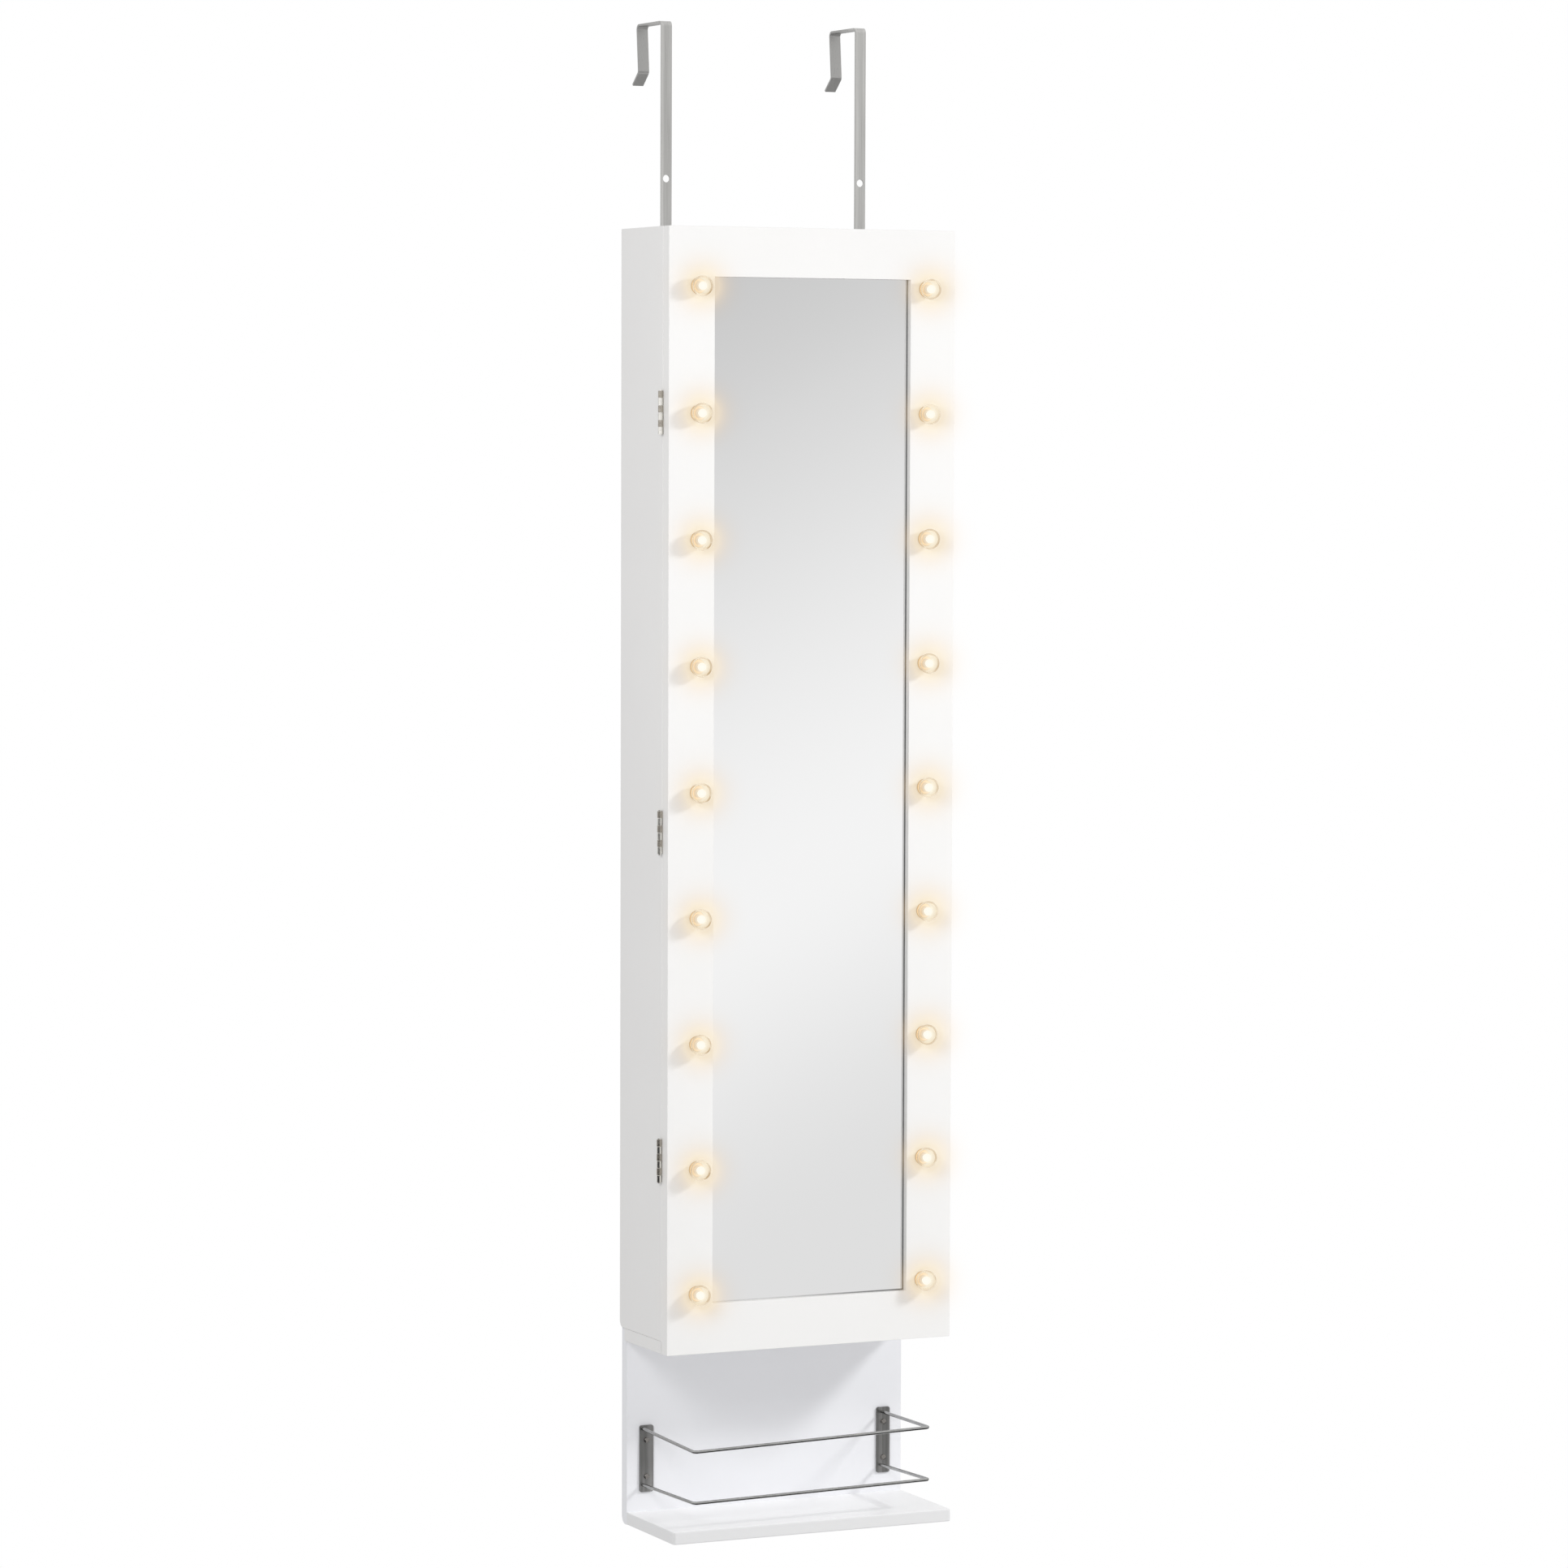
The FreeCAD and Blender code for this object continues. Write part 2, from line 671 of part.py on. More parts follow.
def lamp_socket(centre):
    bore = LED_STEM_R + 0.1
    corners = [(bore, -FRAME_BOARD), (SOCKET_BARREL_R, -FRAME_BOARD), (SOCKET_BARREL_R, 0),
               (SOCKET_FLANGE_R, 0), (SOCKET_FLANGE_R, SOCKET_FLANGE - 0.4),
               (SOCKET_FLANGE_R - 0.4, SOCKET_FLANGE), (bore, SOCKET_FLANGE)]
    return turned(lamp_face(centre, corners), centre)


def led_emitter(centre):
    """A thin stem that ends in a wider round bead at the middle of the globe."""
    stem = round_bar(centre + V(0, FRAME_BOARD, 0), centre - V(0, GLOBE_STANDOFF, 0), LED_STEM_R)
    bead = Part.makeSphere(LED_BEAD_R, centre - V(0, GLOBE_STANDOFF, 0))
    return stem.fuse(bead).removeSplitter()


def lamp_globe(centre):
    """A clear hollow ball, cut off flat where it stands on the socket's flange."""
    middle = centre - V(0, GLOBE_STANDOFF, 0)
    shell = Part.makeSphere(GLOBE_R, middle).cut(Part.makeSphere(GLOBE_R - GLOBE_WALL, middle))
    foot = centre - V(0, SOCKET_FLANGE, 0)
    return shell.cut(round_bar(foot, foot + V(0, GLOBE_R, 0), GLOBE_R + 1))


STRIP_HALF = 5.0
STRIP_ENDS = (45.0, 1024.0)


def led_strip(side):
    """Circuit strip behind a stile: every lamp on that side is lit from it."""
    x = side * LAMP_X
    z = tuple(height(h) for h in STRIP_ENDS)
    return block((x - STRIP_HALF, x + STRIP_HALF), (FRAME_SPLIT_Y, FRAME_SPLIT_Y + 1), z)


def led_leads():
    """A lead from the foot of each strip, along the door's foot and back through the panel."""
    y = FRAME_SPLIT_Y + 0.9
    found = []
    for side in SIDES:
        turn_x = WIRE_HOLE[0] + side * 2.5
        z = height(WIRE_HOLE[1])
        points = [V(side * LAMP_X, y, height(STRIP_ENDS[0])), V(side * LAMP_X, y, z),
                  V(turn_x, y, z), V(turn_x, DOOR_BACK_Y + 6, z)]
        found.append(bent_rod(points, 2.0, 0.7))
    return found


def strike_plates():
    """Steel plates on the door's back that meet the magnetic catches."""
    found = []
    for h in CATCH_HEIGHTS:
        y = (DOOR_BACK_Y, DOOR_BACK_Y + 0.6)
        plate = block((INNER_HALF - 13, INNER_HALF - 1), y, span(h - 17, h + 17))
        found.append(rounded(plate, 2.0, lambda c: near(c.y, DOOR_BACK_Y + 0.3)))
    return found


# Battery box on the door's back, with a sliding lid and a slide switch.

CELLS = 4
CELL_R = 7.1
CELL_PITCH = 14.7
CELL_LENGTH = 49.0
BOX_LEFT = 18.0
BOX_FOOT = 31.0
BOX_TALL = 62.0
BOX_DEEP = 18.9
BOX_WALL = 1.8
BAY = CELLS * CELL_PITCH
SWITCH_BAY = 13.0
BOX_RIGHT = BOX_LEFT + 3 * BOX_WALL + BAY + SWITCH_BAY
BOX_BACK_Y = DOOR_BACK_Y + BOX_DEEP
LID = 1.6
GROOVE = 1.2
LID_Y = (BOX_BACK_Y - 0.8 - LID, BOX_BACK_Y - 0.8)
KNOB_X = BOX_RIGHT - BOX_WALL - SWITCH_BAY / 2
KNOB_TRAVEL = 4.0
KNOB_FOOT = 60.0
KNOB_TALL = 5.0
KNOB_POST = 3.4
KNOB_SOLE = 1.5


def battery_box():
    x = (BOX_LEFT + BOX_WALL, BOX_LEFT + BOX_WALL + BAY)
    z = span(BOX_FOOT + BOX_WALL, BOX_FOOT + BOX_TALL - BOX_WALL)
    floor_y = DOOR_BACK_Y + BOX_WALL
    box = block((BOX_LEFT, BOX_RIGHT), (DOOR_BACK_Y, BOX_BACK_Y), span(BOX_FOOT, BOX_FOOT + BOX_TALL))
    box = rounded(box, 1.5, lambda c: near((c.y - DOOR_BACK_Y) * 2, BOX_DEEP))
    bay = block(x, (floor_y, BOX_BACK_Y + 1), z)
    slide = block((x[0] - GROOVE, x[1] + GROOVE), (LID_Y[0] - SLIDE_GAP, LID_Y[1] + SLIDE_GAP),
                  (z[0] - GROOVE, height(BOX_FOOT + BOX_TALL + 1)))
    mouth = block(x, (LID_Y[0] - SLIDE_GAP, BOX_BACK_Y + 1), (z[0], height(BOX_FOOT + BOX_TALL + 1)))
    switch_x = (BOX_RIGHT - BOX_WALL - SWITCH_BAY, BOX_RIGHT - BOX_WALL)
    switch_bay = block(switch_x, (floor_y, BOX_BACK_Y - BOX_WALL), z)
    slot_half = KNOB_POST / 2 + SLIDE_GAP
    slot = block((KNOB_X - slot_half, KNOB_X + slot_half), (BOX_BACK_Y - BOX_WALL - 1, BOX_BACK_Y + 1),
                 span(KNOB_FOOT - SLIDE_GAP, KNOB_FOOT + KNOB_TALL + KNOB_TRAVEL + SLIDE_GAP))
    entry = V(WIRE_HOLE[0], DOOR_BACK_Y - 1, height(WIRE_HOLE[1]))
    wire_hole = round_bar(entry, entry + V(0, BOX_WALL + 2, 0), WIRE_HOLE_R - 0.8)
    return bored(box, [bay, slide, mouth, switch_bay, slot, wire_hole])


def battery_lid():
    """Slides up out of its grooves; a raised bar near the top gives the thumb a hold."""
    x = (BOX_LEFT + BOX_WALL - GROOVE + SLIDE_GAP, BOX_LEFT + BOX_WALL + BAY + GROOVE - SLIDE_GAP)
    z = span(BOX_FOOT + BOX_WALL - GROOVE + SLIDE_GAP, BOX_FOOT + BOX_TALL)
    lid = block(x, LID_Y, z)
    middle = sum(x) / 2
    grip_z = height(BOX_FOOT + BOX_TALL - 12)
    grip = block((middle - 12, middle + 12), (LID_Y[1] - 0.1, LID_Y[1] + 1.2), (grip_z, grip_z + 3))
    return lid.fuse(grip).removeSplitter()


def cell_axes():
    """X of each cell, and which way up it stands."""
    for i in range(CELLS):
        yield BOX_LEFT + BOX_WALL + (i + 0.5) * CELL_PITCH, 1 if i % 2 == 0 else -1


CELL_Y = DOOR_BACK_Y + BOX_WALL + CELL_R
CELL_MIDDLE = BOX_FOOT + BOX_TALL / 2


def battery_cells():
    found = []
    for x, up in cell_axes():
        foot = V(x, CELL_Y, height(CELL_MIDDLE) - up * (CELL_LENGTH / 2 - 1.0))
        way = V(0, 0, up)
        can = round_bar(foot, foot + way * CELL_LENGTH, CELL_R)
        can = can.makeFillet(0.8, can.Edges[:1] + can.Edges[2:3])
        nub = round_bar(foot + way * (CELL_LENGTH - 0.5), foot + way * (CELL_LENGTH + 1.0), 2.7)
        found.append(can.fuse(nub).removeSplitter())
    return found


def battery_contacts():
    """A flat contact at each cell's nub and a coil spring at its foot."""
    found = []
    inner = BOX_TALL / 2 - BOX_WALL
    for x, up in cell_axes():
        wall = V(x, CELL_Y, height(CELL_MIDDLE) + up * inner)
        tip = V(x, CELL_Y, height(CELL_MIDDLE) + up * (CELL_LENGTH / 2 + 2.0))
        found.append(round_bar(wall, tip, 3.5))
        foot = V(x, CELL_Y, height(CELL_MIDDLE) - up * inner)
        base = V(x, CELL_Y, height(CELL_MIDDLE) - up * (CELL_LENGTH / 2 - 1.0))
        found.append(round_bar(foot, base, 4.0).cut(round_bar(foot, base, 3.2)))
    return found


def switch_body():
    y = (DOOR_BACK_Y + BOX_WALL, BOX_BACK_Y - BOX_WALL - 2 * SLIDE_GAP - KNOB_SOLE)
    return block((KNOB_X - 4, KNOB_X + 4), y, span(KNOB_FOOT - 5, KNOB_FOOT + 14))


def switch_knob():
    """Sole under the cover, post through the slot, and ribbed cap outside."""
    z = span(KNOB_FOOT, KNOB_FOOT + KNOB_TALL)
    under = BOX_BACK_Y - BOX_WALL - SLIDE_GAP
    over = BOX_BACK_Y + SLIDE_GAP
    sole = block((KNOB_X - 4, KNOB_X + 4), (under - KNOB_SOLE, under), (z[0] - 2, z[1] + 2))
    post = block((KNOB_X - KNOB_POST / 2, KNOB_X + KNOB_POST / 2), (under - 0.1, over + 0.1), z)
    cap = block((KNOB_X - 3, KNOB_X + 3), (over, over + 1.5), (z[0] - 1, z[1] + 1))
    ribs = []
    for i in range(3):
        low = z[0] + 0.2 + i * 1.8
        ribs.append(block((KNOB_X - 4, KNOB_X + 4), (over + 1, over + 2), (low, low + 0.8)))
    return bored(sole.fuse(post).fuse(cap).removeSplitter(), ribs)


def add(name, pieces):
    """Keep a node: one solid, or a list of like solids."""
    pieces = pieces if isinstance(pieces, list) else [pieces]
    nodes[name] = Part.Compound([solid for piece in pieces for solid in piece.Solids])


def build_cabinet():
    dowel = dowels()
    screw = carcass_screws()
    hook_screw = hook_screws()
    bracket_screw = bracket_screws()
    pin = shelf_pins()
    rod = guard_rods()
    hinge_screw = hinge_screws(1)
    fasteners = dowel + screw
    add("back_board", back_board(fasteners + hook_screw + bracket_screw))
    add("left_side_panel", side_panel(-1, fasteners + pin + rod + list(hinge_recess(1)) + hinge_screw))
    add("right_side_panel", side_panel(1, fasteners + pin + rod))
    add("top_panel", top_panel(fasteners))
    add("bottom_panel", bottom_panel(fasteners))
    add("lower_shelf", lower_shelf(dowel))
    add("carcass_dowels", dowel)
    add("carcass_screws", screw)
    add("hook_left", hook(-1, hook_screw))
    add("hook_right", hook(1, hook_screw))
    add("hook_screws", hook_screw)
    add("bracket_plate_left", bracket_plate(-1, bracket_screw))
    add("bracket_plate_right", bracket_plate(1, bracket_screw))
    add("bracket_screws", bracket_screw)
    add("upper_rail", rail_wire((-86.5, -92.0, -87.2, -88.0), 126.0))
    add("lower_rail", rail_wire((-141.3, -141.0, -138.2, -140.5), 124.0))
    add("back_lining", back_lining())
    for number, shelf_height in enumerate(INNER_SHELF_HEIGHTS, 1):
        add(f"inner_shelf_{number}", inner_shelf(shelf_height))
    add("shelf_pins", pin)
    add("guard_rods", rod)
    add("ring_tray", ring_tray())
    add("ring_rolls", ring_rolls())
    add("earring_cleats", earring_cleats())
    add("earring_board", earring_board())
    add("bracelet_rod", bracelet_rod())
    add("bracelet_rod_cups", bracelet_rod_cups(bracelet_rod()))
    peg = necklace_pegs()
    add("necklace_pegs", peg)
    add("necklace_rail", necklace_rail(peg))
    magnet = catch_magnets()
    add("catch_magnets", magnet)
    add("catch_bodies", catch_bodies(magnet))
    add("door_bumpers", door_bumpers())
    add("hinge_leaves_cabinet", [hinge_leaf(1, h, hinge_screw) for h in HINGE_HEIGHTS])
    add("hinge_pins", [hinge_pin(h) for h in HINGE_HEIGHTS])
    add("hinge_screws_cabinet", hinge_screw)


def build_door():
    hinge_screw = hinge_screws(-1)
    panel_screw = panel_screws()
    add("door_front_frame", door_front_frame())
    add("door_rear_frame", door_rear_frame(hinge_screw + panel_screw))
    add("door_back_panel", door_back_panel(panel_screw))
    add("door_panel_screws", panel_screw)
    add("mirror_glass", mirror_glass())
    add("mirror_tape", mirror_tape())
    add("hinge_leaves_door", [hinge_leaf(-1, h, hinge_screw) for h in HINGE_HEIGHTS])
    add("hinge_screws_door", hinge_screw)
    add("lamp_sockets", [lamp_socket(c) for c in lamp_centres()])
    add("led_emitters", [led_emitter(c) for c in lamp_centres()])
    add("lamp_globes", [lamp_globe(c) for c in lamp_centres()])
    add("led_strip_left", led_strip(-1))
    add("led_strip_right", led_strip(1))
    add("led_leads", led_leads())
    add("strike_plates", strike_plates())
    add("battery_box", battery_box())
    add("battery_lid", battery_lid())
    add("battery_cells", battery_cells())
    add("battery_contacts", battery_contacts())
    add("switch_body", switch_body())
    add("switch_knob", switch_knob())


build_cabinet()
build_door()
os.makedirs("parts", exist_ok=True)
for name, shape in nodes.items():
    shape.exportStep(f"parts/{name}.step")
    state = "" if shape.isValid() and all(s.isClosed() for s in shape.Solids) else "  NOT VALID"
    print(f"{name}: {len(shape.Solids)} solids, {shape.Volume / 1000:.2f} cm3{state}")
print(f"{len(nodes)} nodes")
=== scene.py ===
"""Looks of the over-door jewelry armoire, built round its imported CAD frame.

Everything is in metres in the row frame: X left to right, Y front to back, Z up, with the origin between the
hanging holes. The camera stands in front and to the left of the cabinet, a little above its middle.
"""
import math

import bmesh
import bpy
from mathutils import Matrix, Vector, noise


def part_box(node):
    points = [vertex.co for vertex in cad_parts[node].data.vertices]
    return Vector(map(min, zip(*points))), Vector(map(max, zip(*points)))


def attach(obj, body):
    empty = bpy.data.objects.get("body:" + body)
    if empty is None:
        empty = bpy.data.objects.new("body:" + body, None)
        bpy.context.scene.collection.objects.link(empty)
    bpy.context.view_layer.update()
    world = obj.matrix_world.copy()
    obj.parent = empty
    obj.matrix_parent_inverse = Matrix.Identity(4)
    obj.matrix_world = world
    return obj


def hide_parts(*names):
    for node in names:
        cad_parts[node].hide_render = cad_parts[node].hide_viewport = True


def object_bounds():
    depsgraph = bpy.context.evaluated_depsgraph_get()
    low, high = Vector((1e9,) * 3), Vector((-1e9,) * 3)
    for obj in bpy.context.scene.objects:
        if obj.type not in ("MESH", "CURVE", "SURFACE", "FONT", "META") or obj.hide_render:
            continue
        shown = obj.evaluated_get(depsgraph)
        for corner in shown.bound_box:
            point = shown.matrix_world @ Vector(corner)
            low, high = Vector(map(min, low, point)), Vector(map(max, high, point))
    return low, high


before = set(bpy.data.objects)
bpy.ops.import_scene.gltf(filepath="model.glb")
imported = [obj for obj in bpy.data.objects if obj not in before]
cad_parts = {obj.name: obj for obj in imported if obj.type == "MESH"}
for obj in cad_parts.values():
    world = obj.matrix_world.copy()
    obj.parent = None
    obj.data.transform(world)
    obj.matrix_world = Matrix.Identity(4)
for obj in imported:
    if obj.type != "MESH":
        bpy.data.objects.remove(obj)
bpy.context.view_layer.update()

MM = 0.001

# Camera: metres, degrees and millimetres of lens.
CAMERA_PLACE = (-2.2994, -4.9762, -0.2457)
CAMERA_YAW = 25.031
CAMERA_PITCH = -3.524
CAMERA_ROLL = 0.1895
CAMERA_LENS = 129.73

# Light: radiances for the ambient light and the lamps, watts for the two soft boxes. The ambient light rises
# and falls by this share of itself from level to straight up and down.
AMBIENT = 0.545
AMBIENT_RISE = 0.1
KEY_PLACE = (1.92, -1.54, 0.435)
KEY_AIM = (0, 0, -3.0)
KEY_POWER = 34.0
KEY_SIZE = 0.55
FILL_PLACE = (-1.425, -1.31, 0.088)
FILL_AIM = (0, 0, -0.1)
FILL_POWER = 11.8
FILL_SIZE = 0.8
LAMP_GLOW = 3.2

# The floor lies this far below the object, and fades to white between two distances from its middle.
FLOOR_DROP = 0.36
FLOOR_HALF = 40.0
FLOOR_FADE = (0.45, 1.3)

# What shiny surfaces see, as (degrees up, radiance). The mirror looks into the band, a soft sloping strip of
# light whose heights are counted from its own middle. The rest is the studio ahead, to the left and behind.
# A pair of angles is where one part begins to show and where it shows in full.
BAND = ((-9, 0.735), (-7, 0.765), (-4, 0.9), (0.5, 0.68), (3.5, 0.55))
BAND_SLOPE = 0.55
BAND_AZIMUTH = 25.47
BAND_TOP = (22.0, 11.0)
BAND_FOOT = (-16.0, -10.5)
MIRROR_WHITE = 0.9
AHEAD = ((-50, 0.02), (-24, 0.04), (-17, 0.08), (-12, 0.4), (20, 0.7), (34, 1.4), (90, 1.6))
LEFT = ((-30, 0.02), (-12, 0.03), (-7, 0.04), (-4, 0.08), (-1, 0.95), (6, 1.05), (34, 1.05), (90, 1.1))
BEHIND = ((-90, 0.45), (-30, 0.5), (-12, 0.58), (5, 0.72), (34, 1.0), (90, 1.2))
LEFT_FROM = (14.0, 2.0)
BEHIND_FROM = (100.0, 125.0)

# Lens glow round the lamps: what is brighter than GLOW_FROM blooms. Reaches are shares of the picture's
# width.
GLOW_FROM = 1.25
BLOOM_REACH = 0.0214
BLOOM_GAIN = 25.0
BLOOM_MOST = 0.5
BLOOM_TINT = (1.0, 0.68, 0.34, 1.0)
HALO_REACH = 0.0295
HALO_GAIN = 46.0
HALO_TINT = (1.0, 0.865, 0.72, 1.0)
CORE_REACH = 0.007
CORE_GAIN = 2.3
CORE_TINT = (1.0, 0.99, 0.9, 1.0)

# The door's front frame: the width of its border, and of the painted shade line on the mirror along its lip.
FRAME_BORDER = 47.3 * MM
MIRROR_SHADE_LINE = 1.7 * MM

# How far from the frame's face a lamp's stem ends and its bead is fully lit.
STEM_END = 3.5 * MM
BEAD_LIT = 6.5 * MM

# Ring cushion: eight rolls side by side in the tray. A roll narrows over its last few millimetres to a share
# of its radius, and its surface swells a little, at so many swells a metre along it and a radius across it.
# SWELLS_APART keeps one roll's swells unlike the next one's.
ROLLS = 8
ROLL_PITCH = 13.25 * MM
ROLL_STATIONS = 72
ROLL_SIDES = 28
ROLL_END = 5.0 * MM
ROLL_TIP = 0.25
ROLL_SWELL = 0.25 * MM
SWELLS_ALONG = 45.0
SWELLS_ROUND = 0.8
SWELLS_APART = 3.1


def fill(tree, sockets, values):
    """Give each socket a number, a colour or another node's output."""
    for socket, value in zip(sockets, values):
        if isinstance(value, bpy.types.NodeSocket):
            tree.links.new(value, socket)
        else:
            socket.default_value = value


def mirror_opening():
    """Two corners of the hole in the door's front frame, through which the mirror shows."""
    lo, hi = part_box("door_front_frame")
    border = Vector((FRAME_BORDER, 0, FRAME_BORDER))
    return lo + border, hi - border


class Finish:
    """A Principled material. Its patterns lie in the row frame, so a scale of 1000 means about 1 mm."""

    SOCKETS = {
        "colour": "Base Color", "metal": "Metallic", "rough": "Roughness", "ior": "IOR",
        "specular": "Specular IOR Level", "coat": "Coat Weight", "coat_rough": "Coat Roughness",
        "sheen": "Sheen Weight", "sheen_rough": "Sheen Roughness", "sheen_tint": "Sheen Tint",
        "clear": "Transmission Weight", "glow": "Emission Color", "glow_strength": "Emission Strength",
        "anisotropy": "Anisotropic", "under": "Subsurface Weight",
    }

    def __init__(self, name, **sockets):
        self.material = bpy.data.materials.new(name)
        self.material.use_nodes = True
        self.tree = self.material.node_tree
        self.shader = self.tree.nodes["Principled BSDF"]
        self.place = self.node("ShaderNodeTexCoord").outputs["Object"]
        self.bumps = None
        for key, value in sockets.items():
            value = (*value, 1.0) if isinstance(value, tuple) else value
            self.shader.inputs[self.SOCKETS[key]].default_value = value

    def node(self, kind, **settings):
        made = self.tree.nodes.new(kind)
        for key, value in settings.items():
            setattr(made, key, value)
        return made

    def feed(self, socket, value):
        """Give one input a number, a colour or another node's output."""
        fill(self.tree, (socket,), (value,))

    def math(self, operation, a, b=0.0, clamp=False):
        made = self.node("ShaderNodeMath", operation=operation, use_clamp=clamp)
        self.feed(made.inputs[0], a)
        self.feed(made.inputs[1], b)
        return made.outputs[0]

    def along(self, stretch):
        """The place, scaled on each axis."""
        mapping = self.node("ShaderNodeMapping")
        self.feed(mapping.inputs["Vector"], self.place)
        mapping.inputs["Scale"].default_value = stretch
        return mapping.outputs[0]

    def noise(self, scale, stretch=(1, 1, 1), detail=3.0, rough=0.55, warp=0.0):
        made = self.node("ShaderNodeTexNoise")
        self.feed(made.inputs["Vector"], self.along(stretch))
        made.inputs["Scale"].default_value = scale
        made.inputs["Detail"].default_value = detail
        made.inputs["Roughness"].default_value = rough
        made.inputs["Distortion"].default_value = warp
        return made.outputs["Fac"]

    def cells(self, scale, stretch=(1, 1, 1), feature="F1"):
        made = self.node("ShaderNodeTexVoronoi", feature=feature)
        self.feed(made.inputs["Vector"], self.along(stretch))
        made.inputs["Scale"].default_value = scale
        return made.outputs["Distance"]

    def spread(self, value, low, high, to_low=0.0, to_high=1.0):
        """Map a value between two limits, smoothly."""
        made = self.node("ShaderNodeMapRange", interpolation_type="SMOOTHSTEP")
        fill(self.tree, made.inputs, (value, low, high, to_low, to_high))
        return made.outputs[0]

    def axis(self, name):
        made = self.node("ShaderNodeSeparateXYZ")
        self.feed(made.inputs[0], self.place)
        return made.outputs[name]

    def facing(self, name):
        """One coordinate of the surface's own normal: Y is -1 on a face that looks forward."""
        made = self.node("ShaderNodeSeparateXYZ")
        self.feed(made.inputs[0], self.node("ShaderNodeNewGeometry").outputs["True Normal"])
        return made.outputs[name]

    def blend(self, factor, a, b):
        """Colour a where the factor is 0 and b where it is 1."""
        made = self.node("ShaderNodeMix", data_type="RGBA")
        self.feed(made.inputs[0], factor)
        for socket, value in ((made.inputs[6], a), (made.inputs[7], b)):
            self.feed(socket, (*value, 1.0) if isinstance(value, tuple) else value)
        return made.outputs[2]

    def paint(self, factor, a, b):
        """The surface's own colour runs from a to b with the factor."""
        colour = self.blend(factor, a, b)
        self.feed(self.shader.inputs["Base Color"], colour)
        return colour

    def gloss(self, pattern, low, high):
        """Roughness follows a pattern between two limits."""
        self.feed(self.shader.inputs["Roughness"], self.spread(pattern, 0.3, 0.7, low, high))

    def relief(self, pattern, depth):
        """Bump of that depth in metres. Later calls add to earlier ones."""
        made = self.node("ShaderNodeBump")
        made.inputs["Strength"].default_value = 1.0
        made.inputs["Distance"].default_value = depth
        self.feed(made.inputs["Height"], pattern)
        if self.bumps:
            self.feed(made.inputs["Normal"], self.bumps)
        self.bumps = made.outputs[0]
        self.feed(self.shader.inputs["Normal"], self.bumps)


def shade(colour, factor):
    return tuple(c * factor for c in colour)


# Surfaces of the boards.

def laminate(name, colour, rough=0.42, texture=1.0, painted_edge_shade=1.0):
    """Satin white foil on fibreboard: faint mottling and the fine orange peel of the press.

    Below 1, the last argument paints shade on a level board: it is how light its narrow front is painted
    beside the rest of it, and its left end is painted with a shade between the two.
    """
    f = Finish(name, specular=0.4)
    cloud = f.noise(7.0, detail=4.0)
    speck = f.noise(420.0, detail=2.0)
    mottled = f.math("MULTIPLY_ADD", speck, 0.25)
    f.feed(mottled.node.inputs[2], cloud)
    face = f.paint(f.spread(mottled, 0.35, 0.95), shade(colour, 0.985), shade(colour, 1.008))
    # Painted shade: a level board's narrow front, and less so its left end, are coloured darker.
    if painted_edge_shade < 1.0:
        front = f.spread(f.facing("Y"), -0.7, -0.3, 1.0, 0.0)
        left_end = f.spread(f.facing("X"), -0.7, -0.3, 0.55, 0.0)
        f.paint(f.math("MAXIMUM", front, left_end), face, shade(colour, painted_edge_shade))
    f.gloss(f.noise(60.0), rough - 0.04, rough + 0.05)
    f.relief(f.noise(650.0, detail=2.0), 0.000012 * texture)
    f.relief(f.noise(35.0, detail=1.0), 0.00006 * texture)
    return f.material


def hardboard(name, colour):
    """Painted hardboard: flatter paint over a faintly fibrous sheet."""
    f = Finish(name, specular=0.35)
    fibre = f.noise(240.0, (1.0, 1.0, 0.35), detail=5.0)
    f.paint(f.spread(fibre, 0.3, 0.7), shade(colour, 0.965), colour)
    f.gloss(f.noise(45.0), 0.52, 0.66)
    f.relief(fibre, 0.00005)
    return f.material


def moulded(name, colour, rough=0.45, grain=0.00004, scale=900.0, specular=0.5):
    """Moulded plastic with a fine spark-eroded grain."""
    f = Finish(name, specular=specular)
    grains = f.noise(scale, detail=2.0, rough=0.6)
    f.paint(f.spread(f.noise(55.0), 0.3, 0.7), shade(colour, 0.97), shade(colour, 1.02))
    f.gloss(f.noise(140.0), rough - 0.05, rough + 0.06)
    f.relief(grains, grain)
    return f.material


# Metals.

def brushed(name, dark, light, run, rough=(0.26, 0.4), depth=0.00002, metal=1.0, shade_behind=1.0):
    """Brushed steel. run is the scale on each axis: small along the brushing.

    shade_behind is painted shade: how light the steel is painted well behind the cabinet, beside what it is
    in front.
    """
    f = Finish(name, metal=metal, anisotropy=0.35)
    fine = f.noise(1.0, run, detail=6.0, rough=0.7)
    broad = f.noise(0.16, run, detail=3.0)
    streak = f.math("MULTIPLY_ADD", broad, 0.6)
    f.feed(streak.node.inputs[2], f.math("MULTIPLY", fine, 0.5))
    steel = f.paint(f.spread(streak, 0.38, 0.72), dark, light)
    if shade_behind < 1.0:
        # Painted shade: the steel well behind the cabinet is coloured darker.
        behind = f.spread(f.axis("Y"), 0.0, 0.05)
        f.paint(behind, steel, shade(light, 0.8 * shade_behind))
    f.gloss(fine, *rough)
    f.relief(fine, depth)
    return f.material


def plated(name, colour, rough=(0.12, 0.22), scale=180.0):
    """Zinc, nickel or chrome plate: slight clouds in colour and gloss."""
    f = Finish(name, metal=1.0)
    cloud = f.noise(scale, detail=4.0)
    f.paint(f.spread(cloud, 0.3, 0.7), shade(colour, 0.9), shade(colour, 1.06))
    f.gloss(f.noise(scale * 2.5, detail=3.0), *rough)
    f.relief(f.noise(scale * 5, detail=2.0), 0.000006)
    return f.material


